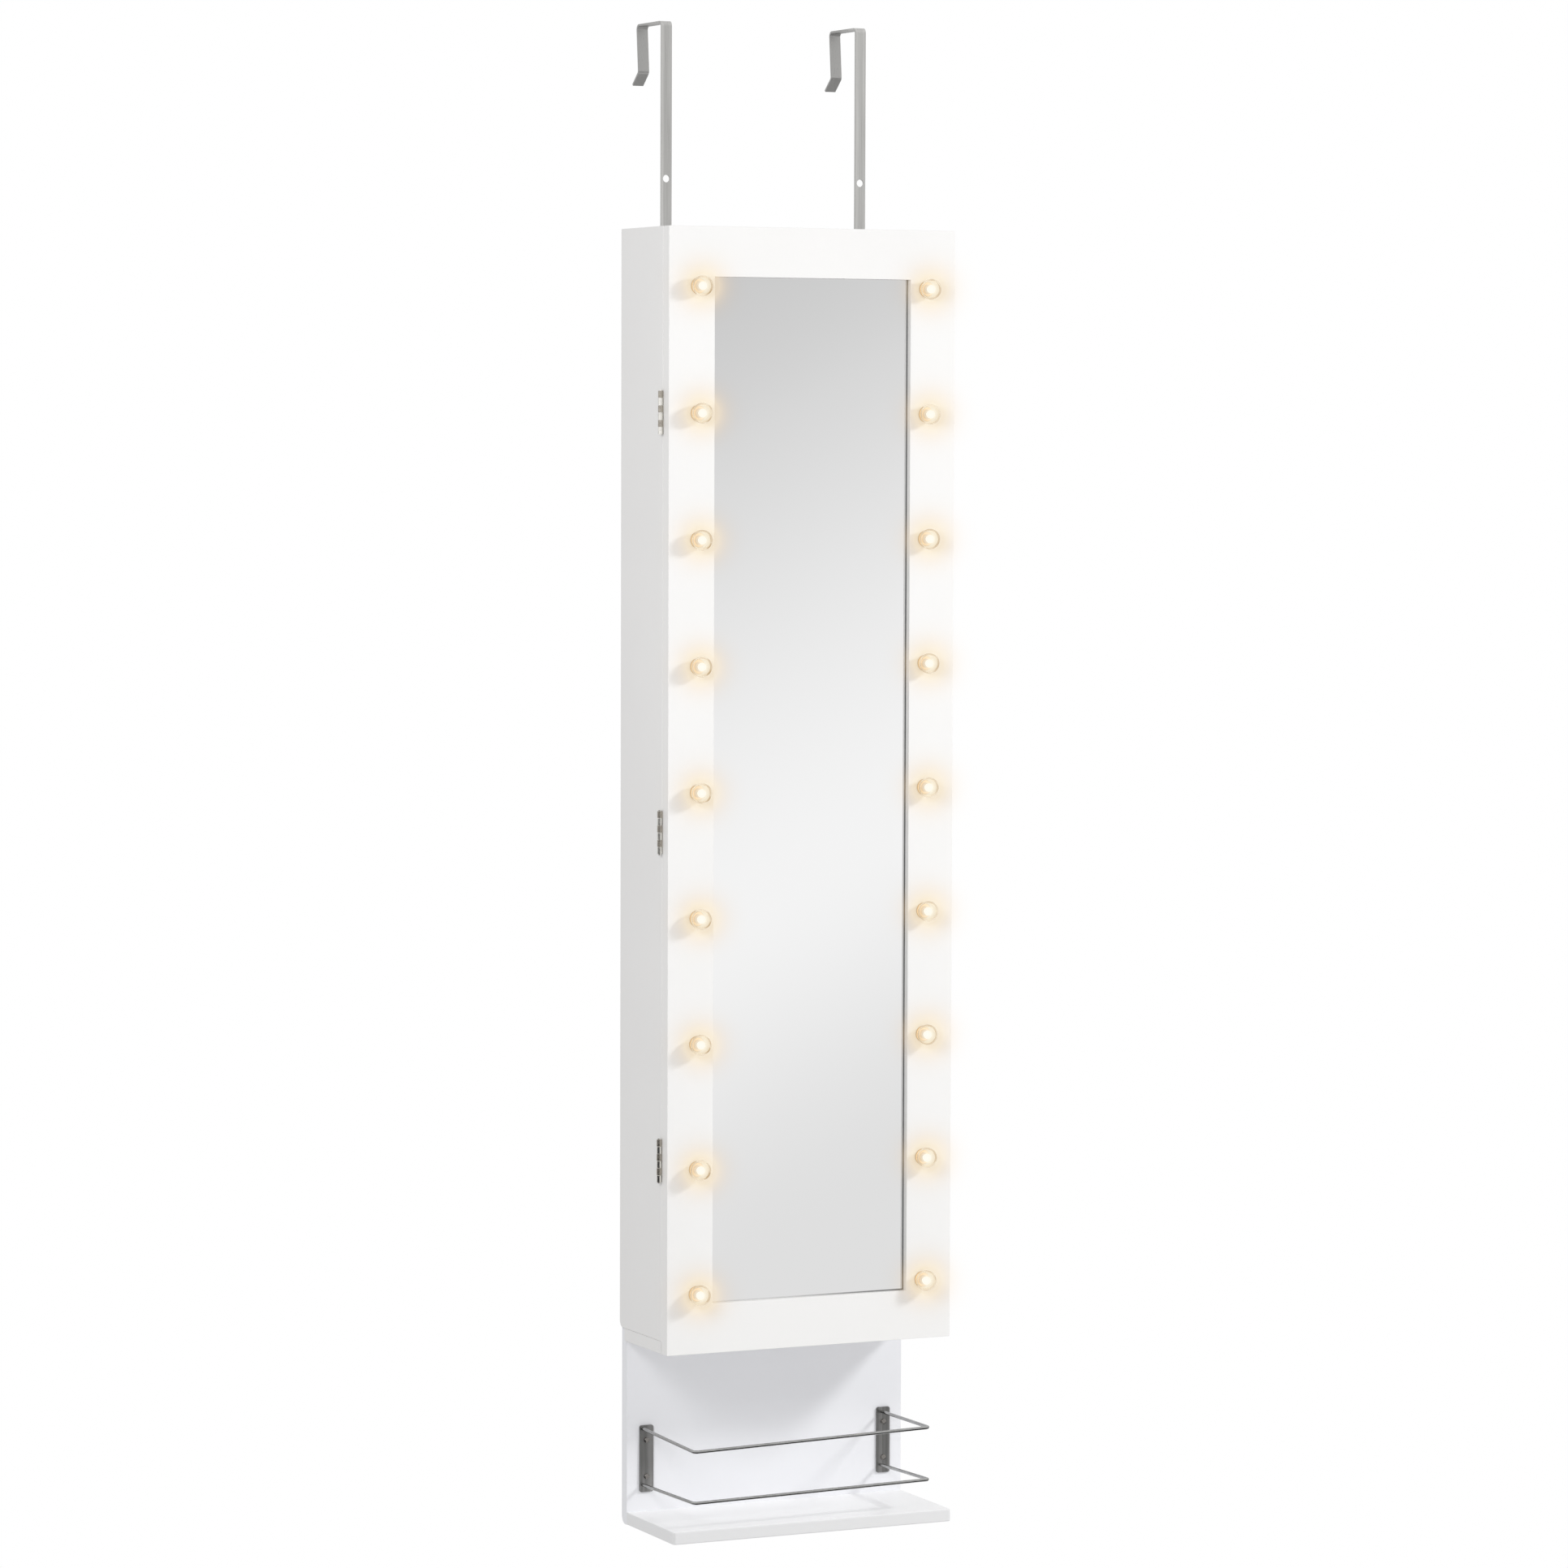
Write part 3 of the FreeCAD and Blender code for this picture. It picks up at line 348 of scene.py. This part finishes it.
def ferrite():
    f = Finish("ferrite", specular=0.5)
    grain = f.noise(1400.0, detail=4.0)
    f.paint(f.spread(grain, 0.3, 0.7), (0.02, 0.02, 0.022), (0.07, 0.07, 0.075))
    f.gloss(grain, 0.35, 0.6)
    f.relief(grain, 0.00008)
    return f.material


# Mirror, lamps.

def mirror_finish():
    """Silvered glass, with a line of painted shade along its right side and, fading in from the left, along
    its foot, where the frame's lip meets it.
    """
    f = Finish("silvered_glass", metal=1.0, rough=0.0)
    lo, hi = mirror_opening()
    # Painted shade: a dark line on the silver at the right side and foot of the opening.
    right = f.spread(f.axis("X"), hi.x - MIRROR_SHADE_LINE, hi.x - 0.55 * MIRROR_SHADE_LINE)
    foot_fade = f.spread(f.axis("X"), lo.x + 0.05, hi.x, 0.15, 0.9)
    foot = f.spread(f.axis("Z"), lo.z + 0.55 * MIRROR_SHADE_LINE, lo.z + 0.95 * MIRROR_SHADE_LINE, 1.0, 0.0)
    painted_edge_shade = f.math("MAXIMUM", right, f.math("MULTIPLY", foot, foot_fade))
    haze = f.noise(3.0, detail=2.0)
    silver = f.blend(haze, (0.895, 0.895, 0.895), (0.905, 0.905, 0.906))
    f.paint(painted_edge_shade, silver, (0.145, 0.148, 0.15))
    return f.material


def globe_glass():
    """Clear glass that lets light straight through to the frame behind it. Where it is seen at a glancing
    angle its colour is painted dark brown, unevenly: a painted reflection of dark surroundings.
    """
    f = Finish("clear_glass", rough=0.0, ior=1.45, clear=1.0)
    f.relief(f.noise(160.0, detail=1.0), 0.00002)
    # Painted reflection: the rim seen at a glancing angle is coloured dark, as if it mirrored dark
    # surroundings.
    rim = f.node("ShaderNodeLayerWeight")
    rim.inputs["Blend"].default_value = 0.5
    uneven = f.spread(f.noise(75.0, detail=1.0), 0.42, 0.58, 0.2, 1.0)
    dark = f.math("MULTIPLY", f.spread(rim.outputs["Facing"], 0.56, 0.66), uneven)
    f.paint(dark, (1.0, 0.99, 0.95), (0.03, 0.018, 0.01))
    path = f.node("ShaderNodeLightPath")
    open_way = f.node("ShaderNodeBsdfTransparent")
    open_way.inputs[0].default_value = (0.6, 0.565, 0.53, 1.0)
    mixer = f.node("ShaderNodeMixShader")
    f.feed(mixer.inputs[0], path.outputs["Is Shadow Ray"])
    f.feed(mixer.inputs[1], f.shader.outputs[0])
    f.feed(mixer.inputs[2], open_way.outputs[0])
    f.feed(f.tree.nodes["Material Output"].inputs["Surface"], mixer.outputs[0])
    return f.material


def lamp_light():
    """The lit bead at a globe's middle, on a stem painted dark brown as shade under the bead."""
    f = Finish("warm_light", rough=0.4, glow_strength=LAMP_GLOW)
    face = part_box("door_front_frame")[0].y
    out = f.math("SUBTRACT", face, f.axis("Y"))
    lit = f.spread(out, STEM_END, BEAD_LIT)
    # Painted shade: the stem below the lit bead is coloured dark brown.
    f.paint(lit, (0.2, 0.09, 0.03), (0.9, 0.8, 0.6))
    f.feed(f.shader.inputs["Emission Color"], f.blend(lit, (0.0, 0.0, 0.0), (1.0, 0.9, 0.68)))
    f.relief(f.noise(900.0), 0.00003)
    return f.material


def socket_finish():
    """Plastic whose face is painted warm and made to glow faintly, standing in for the lamp's light on it,
    with painted shade on the thin side of its flange.
    """
    f = Finish("socket_plastic", specular=0.5, glow_strength=0.4)
    # Painted shade: the thin side of the flange is coloured dark.
    side = f.spread(f.facing("Y"), -0.95, -0.6)
    # Painted light: a warm face colour and a faint glow stand in for the lamp's light falling on it.
    face = f.blend(f.noise(300.0), (0.8, 0.54, 0.34), (0.88, 0.62, 0.42))
    f.paint(side, face, (0.08, 0.05, 0.03))
    f.feed(f.shader.inputs["Emission Color"], f.blend(side, (1.0, 0.6, 0.3), (0.0, 0.0, 0.0)))
    f.gloss(f.noise(500.0), 0.3, 0.42)
    f.relief(f.noise(900.0), 0.00002)
    return f.material


# Soft goods and small things.

def pile(name, dark, light, tuft=2600.0):
    """Short velvet pile: tiny tufts, shading in broad strokes where it lies over, and a soft sheen."""
    f = Finish(name, rough=0.95, sheen=0.55, sheen_rough=0.35, sheen_tint=(0.55, 0.55, 0.6), specular=0.15)
    stroke = f.noise(16.0, (1.0, 1.0, 0.5), detail=2.0, warp=0.2)
    tufts = f.noise(tuft, detail=3.0, rough=0.65)
    lay = f.math("MULTIPLY_ADD", tufts, 0.6)
    f.feed(lay.node.inputs[2], f.math("MULTIPLY", stroke, 0.3))
    f.paint(f.spread(lay, 0.3, 0.6), dark, light)
    f.relief(tufts, 0.00025)
    f.relief(stroke, 0.0004)
    return f.material


def beech():
    f = Finish("raw_beech", specular=0.3)
    grain = f.noise(55.0, (0.12, 1.0, 1.0), detail=6.0, rough=0.65, warp=0.5)
    pores = f.noise(900.0, (0.1, 1.0, 1.0), detail=2.0)
    f.paint(f.spread(grain, 0.3, 0.7), (0.5, 0.33, 0.18), (0.68, 0.49, 0.3))
    f.gloss(pores, 0.6, 0.8)
    f.relief(pores, 0.0001)
    return f.material


def foam_tape():
    f = Finish("foam_tape", specular=0.2)
    bubbles = f.cells(1500.0)
    f.paint(f.spread(bubbles, 0.0, 0.7), (0.72, 0.72, 0.7), (0.86, 0.86, 0.84))
    f.gloss(bubbles, 0.75, 0.9)
    f.relief(bubbles, 0.0002)
    return f.material


def soft_dot():
    f = Finish("soft_dot", rough=0.35, under=0.2, specular=0.5)
    f.paint(f.noise(200.0), (0.74, 0.74, 0.73), (0.84, 0.84, 0.83))
    f.relief(f.noise(1200.0), 0.00002)
    return f.material


def circuit_strip():
    """White solder mask with pale copper tracks along the strip."""
    f = Finish("circuit_strip", specular=0.5)
    track = f.math("SINE", f.math("MULTIPLY", f.axis("X"), 2400.0))
    tracks = f.spread(track, 0.2, 0.6)
    f.paint(tracks, (0.78, 0.8, 0.77), (0.86, 0.87, 0.85))
    f.gloss(f.noise(400.0), 0.3, 0.45)
    f.relief(tracks, 0.00004)
    return f.material


def lead_sheath():
    f = Finish("lead_sheath", specular=0.4)
    f.paint(f.noise(150.0), (0.66, 0.66, 0.65), (0.76, 0.76, 0.75))
    f.gloss(f.noise(300.0), 0.42, 0.6)
    f.relief(f.noise(1600.0), 0.00003)
    return f.material


def cell_sleeve():
    """A shrunk sleeve in two plain bands, with no print; the ends are bare metal."""
    f = Finish("cell_sleeve", specular=0.5, coat=0.4, coat_rough=0.1)
    z = f.axis("Z")
    lo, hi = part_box("battery_cells")
    middle = (lo.z + hi.z) / 2
    upper = f.spread(z, middle + 0.008, middle + 0.0085)
    f.paint(upper, (0.03, 0.08, 0.22), (0.6, 0.35, 0.12))
    f.gloss(f.noise(250.0, (1, 1, 0.2)), 0.22, 0.36)
    f.relief(f.noise(500.0, (1, 1, 0.3)), 0.00003)
    f.feed(f.shader.inputs["Metallic"], f.math("MULTIPLY", upper, 0.6))
    return f.material


def build_finishes():
    """The record's material slots, and the finish of each."""
    steel_run_z = (1500.0, 1500.0, 14.0)
    return {
        "white_board": laminate("satin_white", (0.905, 0.897, 0.89)),
        "white_frame": laminate("satin_white_frame", (0.915, 0.908, 0.898), 0.38),
        "inner_white": laminate("satin_white_inner", (0.88, 0.88, 0.872)),
        "back_panel_white": hardboard("painted_hardboard", (0.85, 0.85, 0.84)),
        "earring_white": moulded("satin_sheet", (0.9, 0.9, 0.9), 0.35, 0.00001),
        "mirror": mirror_finish(),
        "tape": foam_tape(),
        "hook_steel": brushed("brushed_hook", (0.445, 0.44, 0.427), (0.635, 0.63, 0.615), steel_run_z,
                              metal=0.5, shade_behind=0.84),
        "hook_screw_steel": plated("zinc", (0.6, 0.6, 0.61), (0.25, 0.4)),
        "plate_steel": brushed("dark_brushed", (0.185, 0.185, 0.18), (0.36, 0.355, 0.35), steel_run_z,
                               (0.3, 0.42)),
        "plate_screw_steel": plated("screw_steel", (0.28, 0.265, 0.25), (0.12, 0.25)),
        "rail_chrome": plated("rail_chrome", (0.4, 0.4, 0.395), (0.04, 0.1)),
        "dowel_wood": beech(),
        "hinge_nickel": plated("satin_nickel", (0.94, 0.92, 0.87), (0.1, 0.16), 300.0),
        "small_screw_steel": plated("nickel_screw", (0.58, 0.56, 0.53), (0.2, 0.34), 300.0),
        "velvet": pile("black_velvet", (0.008, 0.008, 0.01), (0.05, 0.05, 0.058)),
        "ring_foam": pile("flocked_foam", (0.012, 0.012, 0.015), (0.06, 0.06, 0.07), 3200.0),
        "rod_chrome": plated("rod_chrome", (0.7, 0.7, 0.71), (0.06, 0.14)),
        "pin_steel": plated("pin_zinc", (0.6, 0.6, 0.6), (0.22, 0.36)),
        "peg_white": moulded("gloss_white", (0.87, 0.87, 0.86), 0.18, 0.000008, 400.0),
        "catch_white": moulded("catch_plastic", (0.82, 0.82, 0.8), 0.45),
        "catch_metal": ferrite(),
        "strike_steel": plated("strike_zinc", (0.6, 0.6, 0.61), (0.22, 0.4)),
        "bumper": soft_dot(),
        "socket": socket_finish(),
        "lamp_light": lamp_light(),
        "globe": globe_glass(),
        "circuit": circuit_strip(),
        "lead": lead_sheath(),
        "box_white": moulded("box_plastic", (0.83, 0.83, 0.82), 0.5, 0.00007, 1100.0),
        "cell": cell_sleeve(),
        "contact": plated("contact_nickel", (0.7, 0.69, 0.67), (0.12, 0.24), 400.0),
        "switch_black": moulded("switch_plastic", (0.02, 0.02, 0.02), 0.4, 0.00004),
    }


def dress_frame():
    """Each CAD node takes the finish of its slot, but three of them have a finish of their own.

    The long back board and the shelf are a cooler white; the shelf's white is painted lighter, with painted
    shade on its narrow front and left end, and the door's half of each hinge is painted darker, a painted
    shade.
    """
    # Painted shade: the door's half of each hinge is a darker copy of the nickel.
    shaded_nickel = plated("painted_shade_nickel", (0.54, 0.5, 0.44), (0.16, 0.28), 300.0)
    cool = laminate("satin_cool_white", (0.925, 0.93, 0.96), 0.4)
    # Painted light and shade: the shelf's white is painted lighter than the back board's, and its narrow
    # front and left end darker.
    shaded_shelf = laminate("satin_shelf_white_painted_shade", (0.968, 0.968, 0.975), 0.4, painted_edge_shade=0.84)
    own = {"back_board": cool, "lower_shelf": shaded_shelf, "hinge_leaves_door": shaded_nickel}
    for name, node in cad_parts.items():
        slot = node.data.materials[0].name
        node.data.materials[0] = own.get(name, finishes[slot])


# Ring cushion.

def add_mesh(name, bm, material, smooth=True):
    mesh = bpy.data.meshes.new(name)
    bm.to_mesh(mesh)
    bm.free()
    for face in mesh.polygons:
        face.use_smooth = smooth
    mesh.materials.append(material)
    piece = bpy.data.objects.new(name, mesh)
    bpy.context.scene.collection.objects.link(piece)
    return piece


def roll_ring(bm, x, centre, radius, back, seed):
    """One ring of points round a roll: round in front, flat behind, and a little uneven."""
    points = []
    for k in range(ROLL_SIDES):
        angle = 2 * math.pi * k / ROLL_SIDES
        y = math.cos(angle)
        z = math.sin(angle)
        spot = Vector((x * SWELLS_ALONG, y * SWELLS_ROUND + seed * SWELLS_APART, z * SWELLS_ROUND))
        uneven = noise.noise(spot) * ROLL_SWELL
        reach = radius - ROLL_SWELL + uneven
        points.append(bm.verts.new((x, min(centre.y + y * reach, back), centre.z + z * reach)))
    return points


def roll(bm, centre, radius, half, back, seed):
    """A stuffed roll along X, whose ends are gathered in to a rounded cap."""
    rings = []
    for i in range(ROLL_STATIONS + 1):
        u = -1 + 2 * i / ROLL_STATIONS
        from_end = half * (1 - abs(u))
        cap = math.sqrt(max(0.0, 1 - (1 - min(from_end / ROLL_END, 1.0)) ** 2))
        share = ROLL_TIP + (1 - ROLL_TIP) * cap
        rings.append(roll_ring(bm, centre.x + u * half, centre, radius * share, back, seed))
    for a, b in zip(rings, rings[1:]):
        for k in range(ROLL_SIDES):
            m = (k + 1) % ROLL_SIDES
            bm.faces.new((a[k], a[m], b[m], b[k]))
    bm.faces.new(rings[0][::-1])
    bm.faces.new(rings[-1])


def ring_cushion():
    lo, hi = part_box("ring_rolls")
    radius = ((hi.z - lo.z) - (ROLLS - 1) * ROLL_PITCH) / 2
    bm = bmesh.new()
    for i in range(ROLLS):
        centre = Vector(((lo.x + hi.x) / 2, lo.y + radius, lo.z + radius + i * ROLL_PITCH))
        roll(bm, centre, radius, (hi.x - lo.x) / 2, hi.y, i)
    bmesh.ops.recalc_face_normals(bm, faces=bm.faces)
    cushion = add_mesh("ring_cushion", bm, finishes["ring_foam"])
    cushion.modifiers.new("round", "SUBSURF").render_levels = 1
    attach(cushion, "cabinet")
    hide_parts("ring_rolls")


# Studio.

def grey(level):
    return (level, level, level, 1.0)


def world_math(tree, operation, *values):
    made = tree.nodes.new("ShaderNodeMath")
    made.operation = operation
    fill(tree, made.inputs, values)
    return made.outputs[0]


def ramp_of(tree, value, stops):
    """A smooth ramp of greys through the stops, which are (value, level of grey)."""
    low = stops[0][0]
    high = stops[-1][0]
    share = world_math(tree, "DIVIDE", world_math(tree, "SUBTRACT", value, low), high - low)
    made = tree.nodes.new("ShaderNodeValToRGB")
    made.color_ramp.interpolation = "CARDINAL"
    elements = made.color_ramp.elements
    for at, level in stops[1:-1]:
        elements.new((at - low) / (high - low)).color = grey(level)
    elements[0].color = grey(stops[0][1])
    elements[-1].color = grey(stops[-1][1])
    tree.links.new(share, made.inputs[0])
    return made.outputs[0]


def mix_of(tree, factor, a, b):
    made = tree.nodes.new("ShaderNodeMix")
    made.data_type = "RGBA"
    fill(tree, (made.inputs[0], made.inputs[6], made.inputs[7]), (factor, a, b))
    return made.outputs[2]


def eased(tree, value, low, high):
    """0 at the first limit and 1 at the second, smoothly."""
    made = tree.nodes.new("ShaderNodeMapRange")
    made.interpolation_type = "SMOOTHSTEP"
    fill(tree, made.inputs, (value, low, high))
    return made.outputs[0]


def build_world():
    """White to the eye, an even ambient light on surfaces, and a graded studio in reflections."""
    world = bpy.data.worlds.new("studio")
    bpy.context.scene.world = world
    world.use_nodes = True
    world.cycles.sampling_method = "NONE"
    tree = world.node_tree
    direction = tree.nodes.new("ShaderNodeTexCoord").outputs["Generated"]
    parts = tree.nodes.new("ShaderNodeSeparateXYZ")
    tree.links.new(direction, parts.inputs[0])
    x, y, z = parts.outputs
    degrees = 180 / math.pi
    elevation = world_math(tree, "MULTIPLY", world_math(tree, "ARCSINE", z), degrees)
    forward = world_math(tree, "MULTIPLY", y, -1.0)
    azimuth = world_math(tree, "MULTIPLY", world_math(tree, "ARCTAN2", x, forward), degrees)
    slope = world_math(tree, "MULTIPLY", world_math(tree, "SUBTRACT", azimuth, BAND_AZIMUTH), BAND_SLOPE)
    band_at = world_math(tree, "SUBTRACT", elevation, slope)
    stops = [(at, value / MIRROR_WHITE) for at, value in BAND]
    band = ramp_of(tree, band_at, stops)
    under_top = eased(tree, elevation, *BAND_TOP)
    over_foot = eased(tree, elevation, *BAND_FOOT)
    in_band = world_math(tree, "MULTIPLY", under_top, over_foot)
    ahead = mix_of(tree, in_band, ramp_of(tree, elevation, AHEAD), band)
    leftward = eased(tree, azimuth, *LEFT_FROM)
    sides = mix_of(tree, leftward, ahead, ramp_of(tree, elevation, LEFT))
    behind = eased(tree, world_math(tree, "ABSOLUTE", azimuth), *BEHIND_FROM)
    studio = mix_of(tree, behind, sides, ramp_of(tree, elevation, BEHIND))
    path = tree.nodes.new("ShaderNodeLightPath")
    seen = world_math(tree, "MAXIMUM", path.outputs["Is Camera Ray"], path.outputs["Is Transmission Ray"])
    direct = world_math(tree, "LESS_THAN", path.outputs["Diffuse Depth"], 0.5)
    seen = world_math(tree, "MULTIPLY", seen, direct)
    ambient = world_math(tree, "MULTIPLY_ADD", z, AMBIENT_RISE * AMBIENT, AMBIENT)
    plain = mix_of(tree, seen, ambient, grey(1.0))
    colour = mix_of(tree, path.outputs["Is Glossy Ray"], plain, studio)
    background = tree.nodes["Background"]
    tree.links.new(colour, background.inputs[0])


def aim(obj, target):
    obj.rotation_mode = "QUATERNION"
    obj.rotation_quaternion = (Vector(target) - obj.location).to_track_quat("-Z", "Y")


def add_light(name, place, target, power, size):
    """A round soft box. It is left out of reflections, which show the graded world instead."""
    data = bpy.data.lights.new(name, "AREA")
    data.shape = "DISK"
    data.energy = power
    data.size = size
    lamp = bpy.data.objects.new(name, data)
    lamp.location = place
    bpy.context.scene.collection.objects.link(lamp)
    aim(lamp, target)
    lamp.visible_glossy = False
    lamp.visible_transmission = False


def build_lights():
    add_light("key", KEY_PLACE, KEY_AIM, KEY_POWER, KEY_SIZE)
    add_light("fill", FILL_PLACE, FILL_AIM, FILL_POWER, FILL_SIZE)


def build_floor():
    """Pale floor below the hanging cabinet; further off it runs out into the white of the studio."""
    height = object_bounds()[0].z - FLOOR_DROP
    bm = bmesh.new()
    corners = [bm.verts.new((x * FLOOR_HALF, y * FLOOR_HALF, height)) for x, y in
               ((-1, -1), (1, -1), (1, 1), (-1, 1))]
    bm.faces.new(corners)
    f = Finish("pale_floor", rough=0.8, specular=0.1)
    f.paint(f.noise(5.0), (0.86, 0.86, 0.86), (0.9, 0.9, 0.895))
    f.relief(f.noise(90.0), 0.0002)
    flat = f.node("ShaderNodeVectorMath", operation="MULTIPLY")
    f.feed(flat.inputs[0], f.place)
    flat.inputs[1].default_value = (1.0, 1.0, 0.0)
    length = f.node("ShaderNodeVectorMath", operation="LENGTH")
    f.feed(length.inputs[0], flat.outputs[0])
    far = f.spread(length.outputs["Value"], *FLOOR_FADE)
    path = f.node("ShaderNodeLightPath")
    factor = f.math("MULTIPLY", far, path.outputs["Is Camera Ray"])
    white = f.node("ShaderNodeEmission")
    mixer = f.node("ShaderNodeMixShader")
    f.feed(mixer.inputs[0], factor)
    f.feed(mixer.inputs[1], f.shader.outputs[0])
    f.feed(mixer.inputs[2], white.outputs[0])
    f.feed(f.tree.nodes["Material Output"].inputs["Surface"], mixer.outputs[0])
    floor = add_mesh("floor", bm, f.material, smooth=False)
    floor.visible_glossy = False


def build_camera():
    data = bpy.data.cameras.new("camera")
    data.lens = CAMERA_LENS
    data.sensor_width = 36.0
    data.clip_end = 200.0
    camera = bpy.data.objects.new("camera", data)
    turn = Matrix.Rotation(math.radians(-CAMERA_YAW), 4, "Z")
    tilt = Matrix.Rotation(math.radians(90 + CAMERA_PITCH), 4, "X")
    roll_about = Matrix.Rotation(math.radians(CAMERA_ROLL), 4, "Z")
    camera.matrix_world = Matrix.Translation(CAMERA_PLACE) @ turn @ tilt @ roll_about
    bpy.context.scene.collection.objects.link(camera)
    bpy.context.scene.camera = camera


def build_lens_glow():
    """Bright lamps bloom, tint what lies round them, and have a nearly white core."""
    scene = bpy.context.scene
    scene.use_nodes = True
    tree = scene.node_tree
    tree.nodes.clear()

    def node(kind, **settings):
        made = tree.nodes.new(kind)
        for key, value in settings.items():
            setattr(made, key, value)
        return made

    def blurred(source, reach):
        """Blur whose reach is a share of the picture's width."""
        pixels = node("CompositorNodeRelativeToPixel", data_type="VECTOR", reference_dimension="X")
        pixels.inputs[0].default_value = [reach] * len(pixels.inputs[0].default_value)
        tree.links.new(source, pixels.inputs["Image"])
        made = node("CompositorNodeBlur", filter_type="GAUSS")
        tree.links.new(source, made.inputs["Image"])
        tree.links.new(pixels.outputs[1], made.inputs["Size"])
        return made.outputs[0]

    def maths(operation, a, b, clamp=False):
        made = node("CompositorNodeMath", operation=operation, use_clamp=clamp)
        fill(tree, made.inputs, (a, b))
        return made.outputs[0]

    def mixed(blend_type, factor, a, b):
        made = node("CompositorNodeMixRGB", blend_type=blend_type)
        fill(tree, made.inputs, (factor, a, b))
        return made.outputs[0]

    source = node("CompositorNodeRLayers").outputs["Image"]
    grey_level = node("CompositorNodeRGBToBW")
    tree.links.new(source, grey_level.inputs[0])
    over = maths("SUBTRACT", grey_level.outputs[0], GLOW_FROM, clamp=True)
    bloom = maths("MINIMUM", maths("MULTIPLY", blurred(over, BLOOM_REACH), BLOOM_GAIN), BLOOM_MOST)
    halo = maths("MULTIPLY", blurred(over, HALO_REACH), HALO_GAIN, clamp=True)
    capped = mixed("DARKEN", 1.0, source, grey(1.0))
    tinted = mixed("MULTIPLY", halo, capped, HALO_TINT)
    glowing = mixed("SCREEN", bloom, tinted, BLOOM_TINT)
    core = maths("MULTIPLY", blurred(over, CORE_REACH), CORE_GAIN, clamp=True)
    lamps = mixed("MIX", core, glowing, CORE_TINT)
    tree.links.new(lamps, node("CompositorNodeComposite").inputs[0])


finishes = build_finishes()
dress_frame()
ring_cushion()
build_world()
build_lights()
build_floor()
build_camera()
build_lens_glow()
bpy.context.scene.view_settings.view_transform = "Standard"
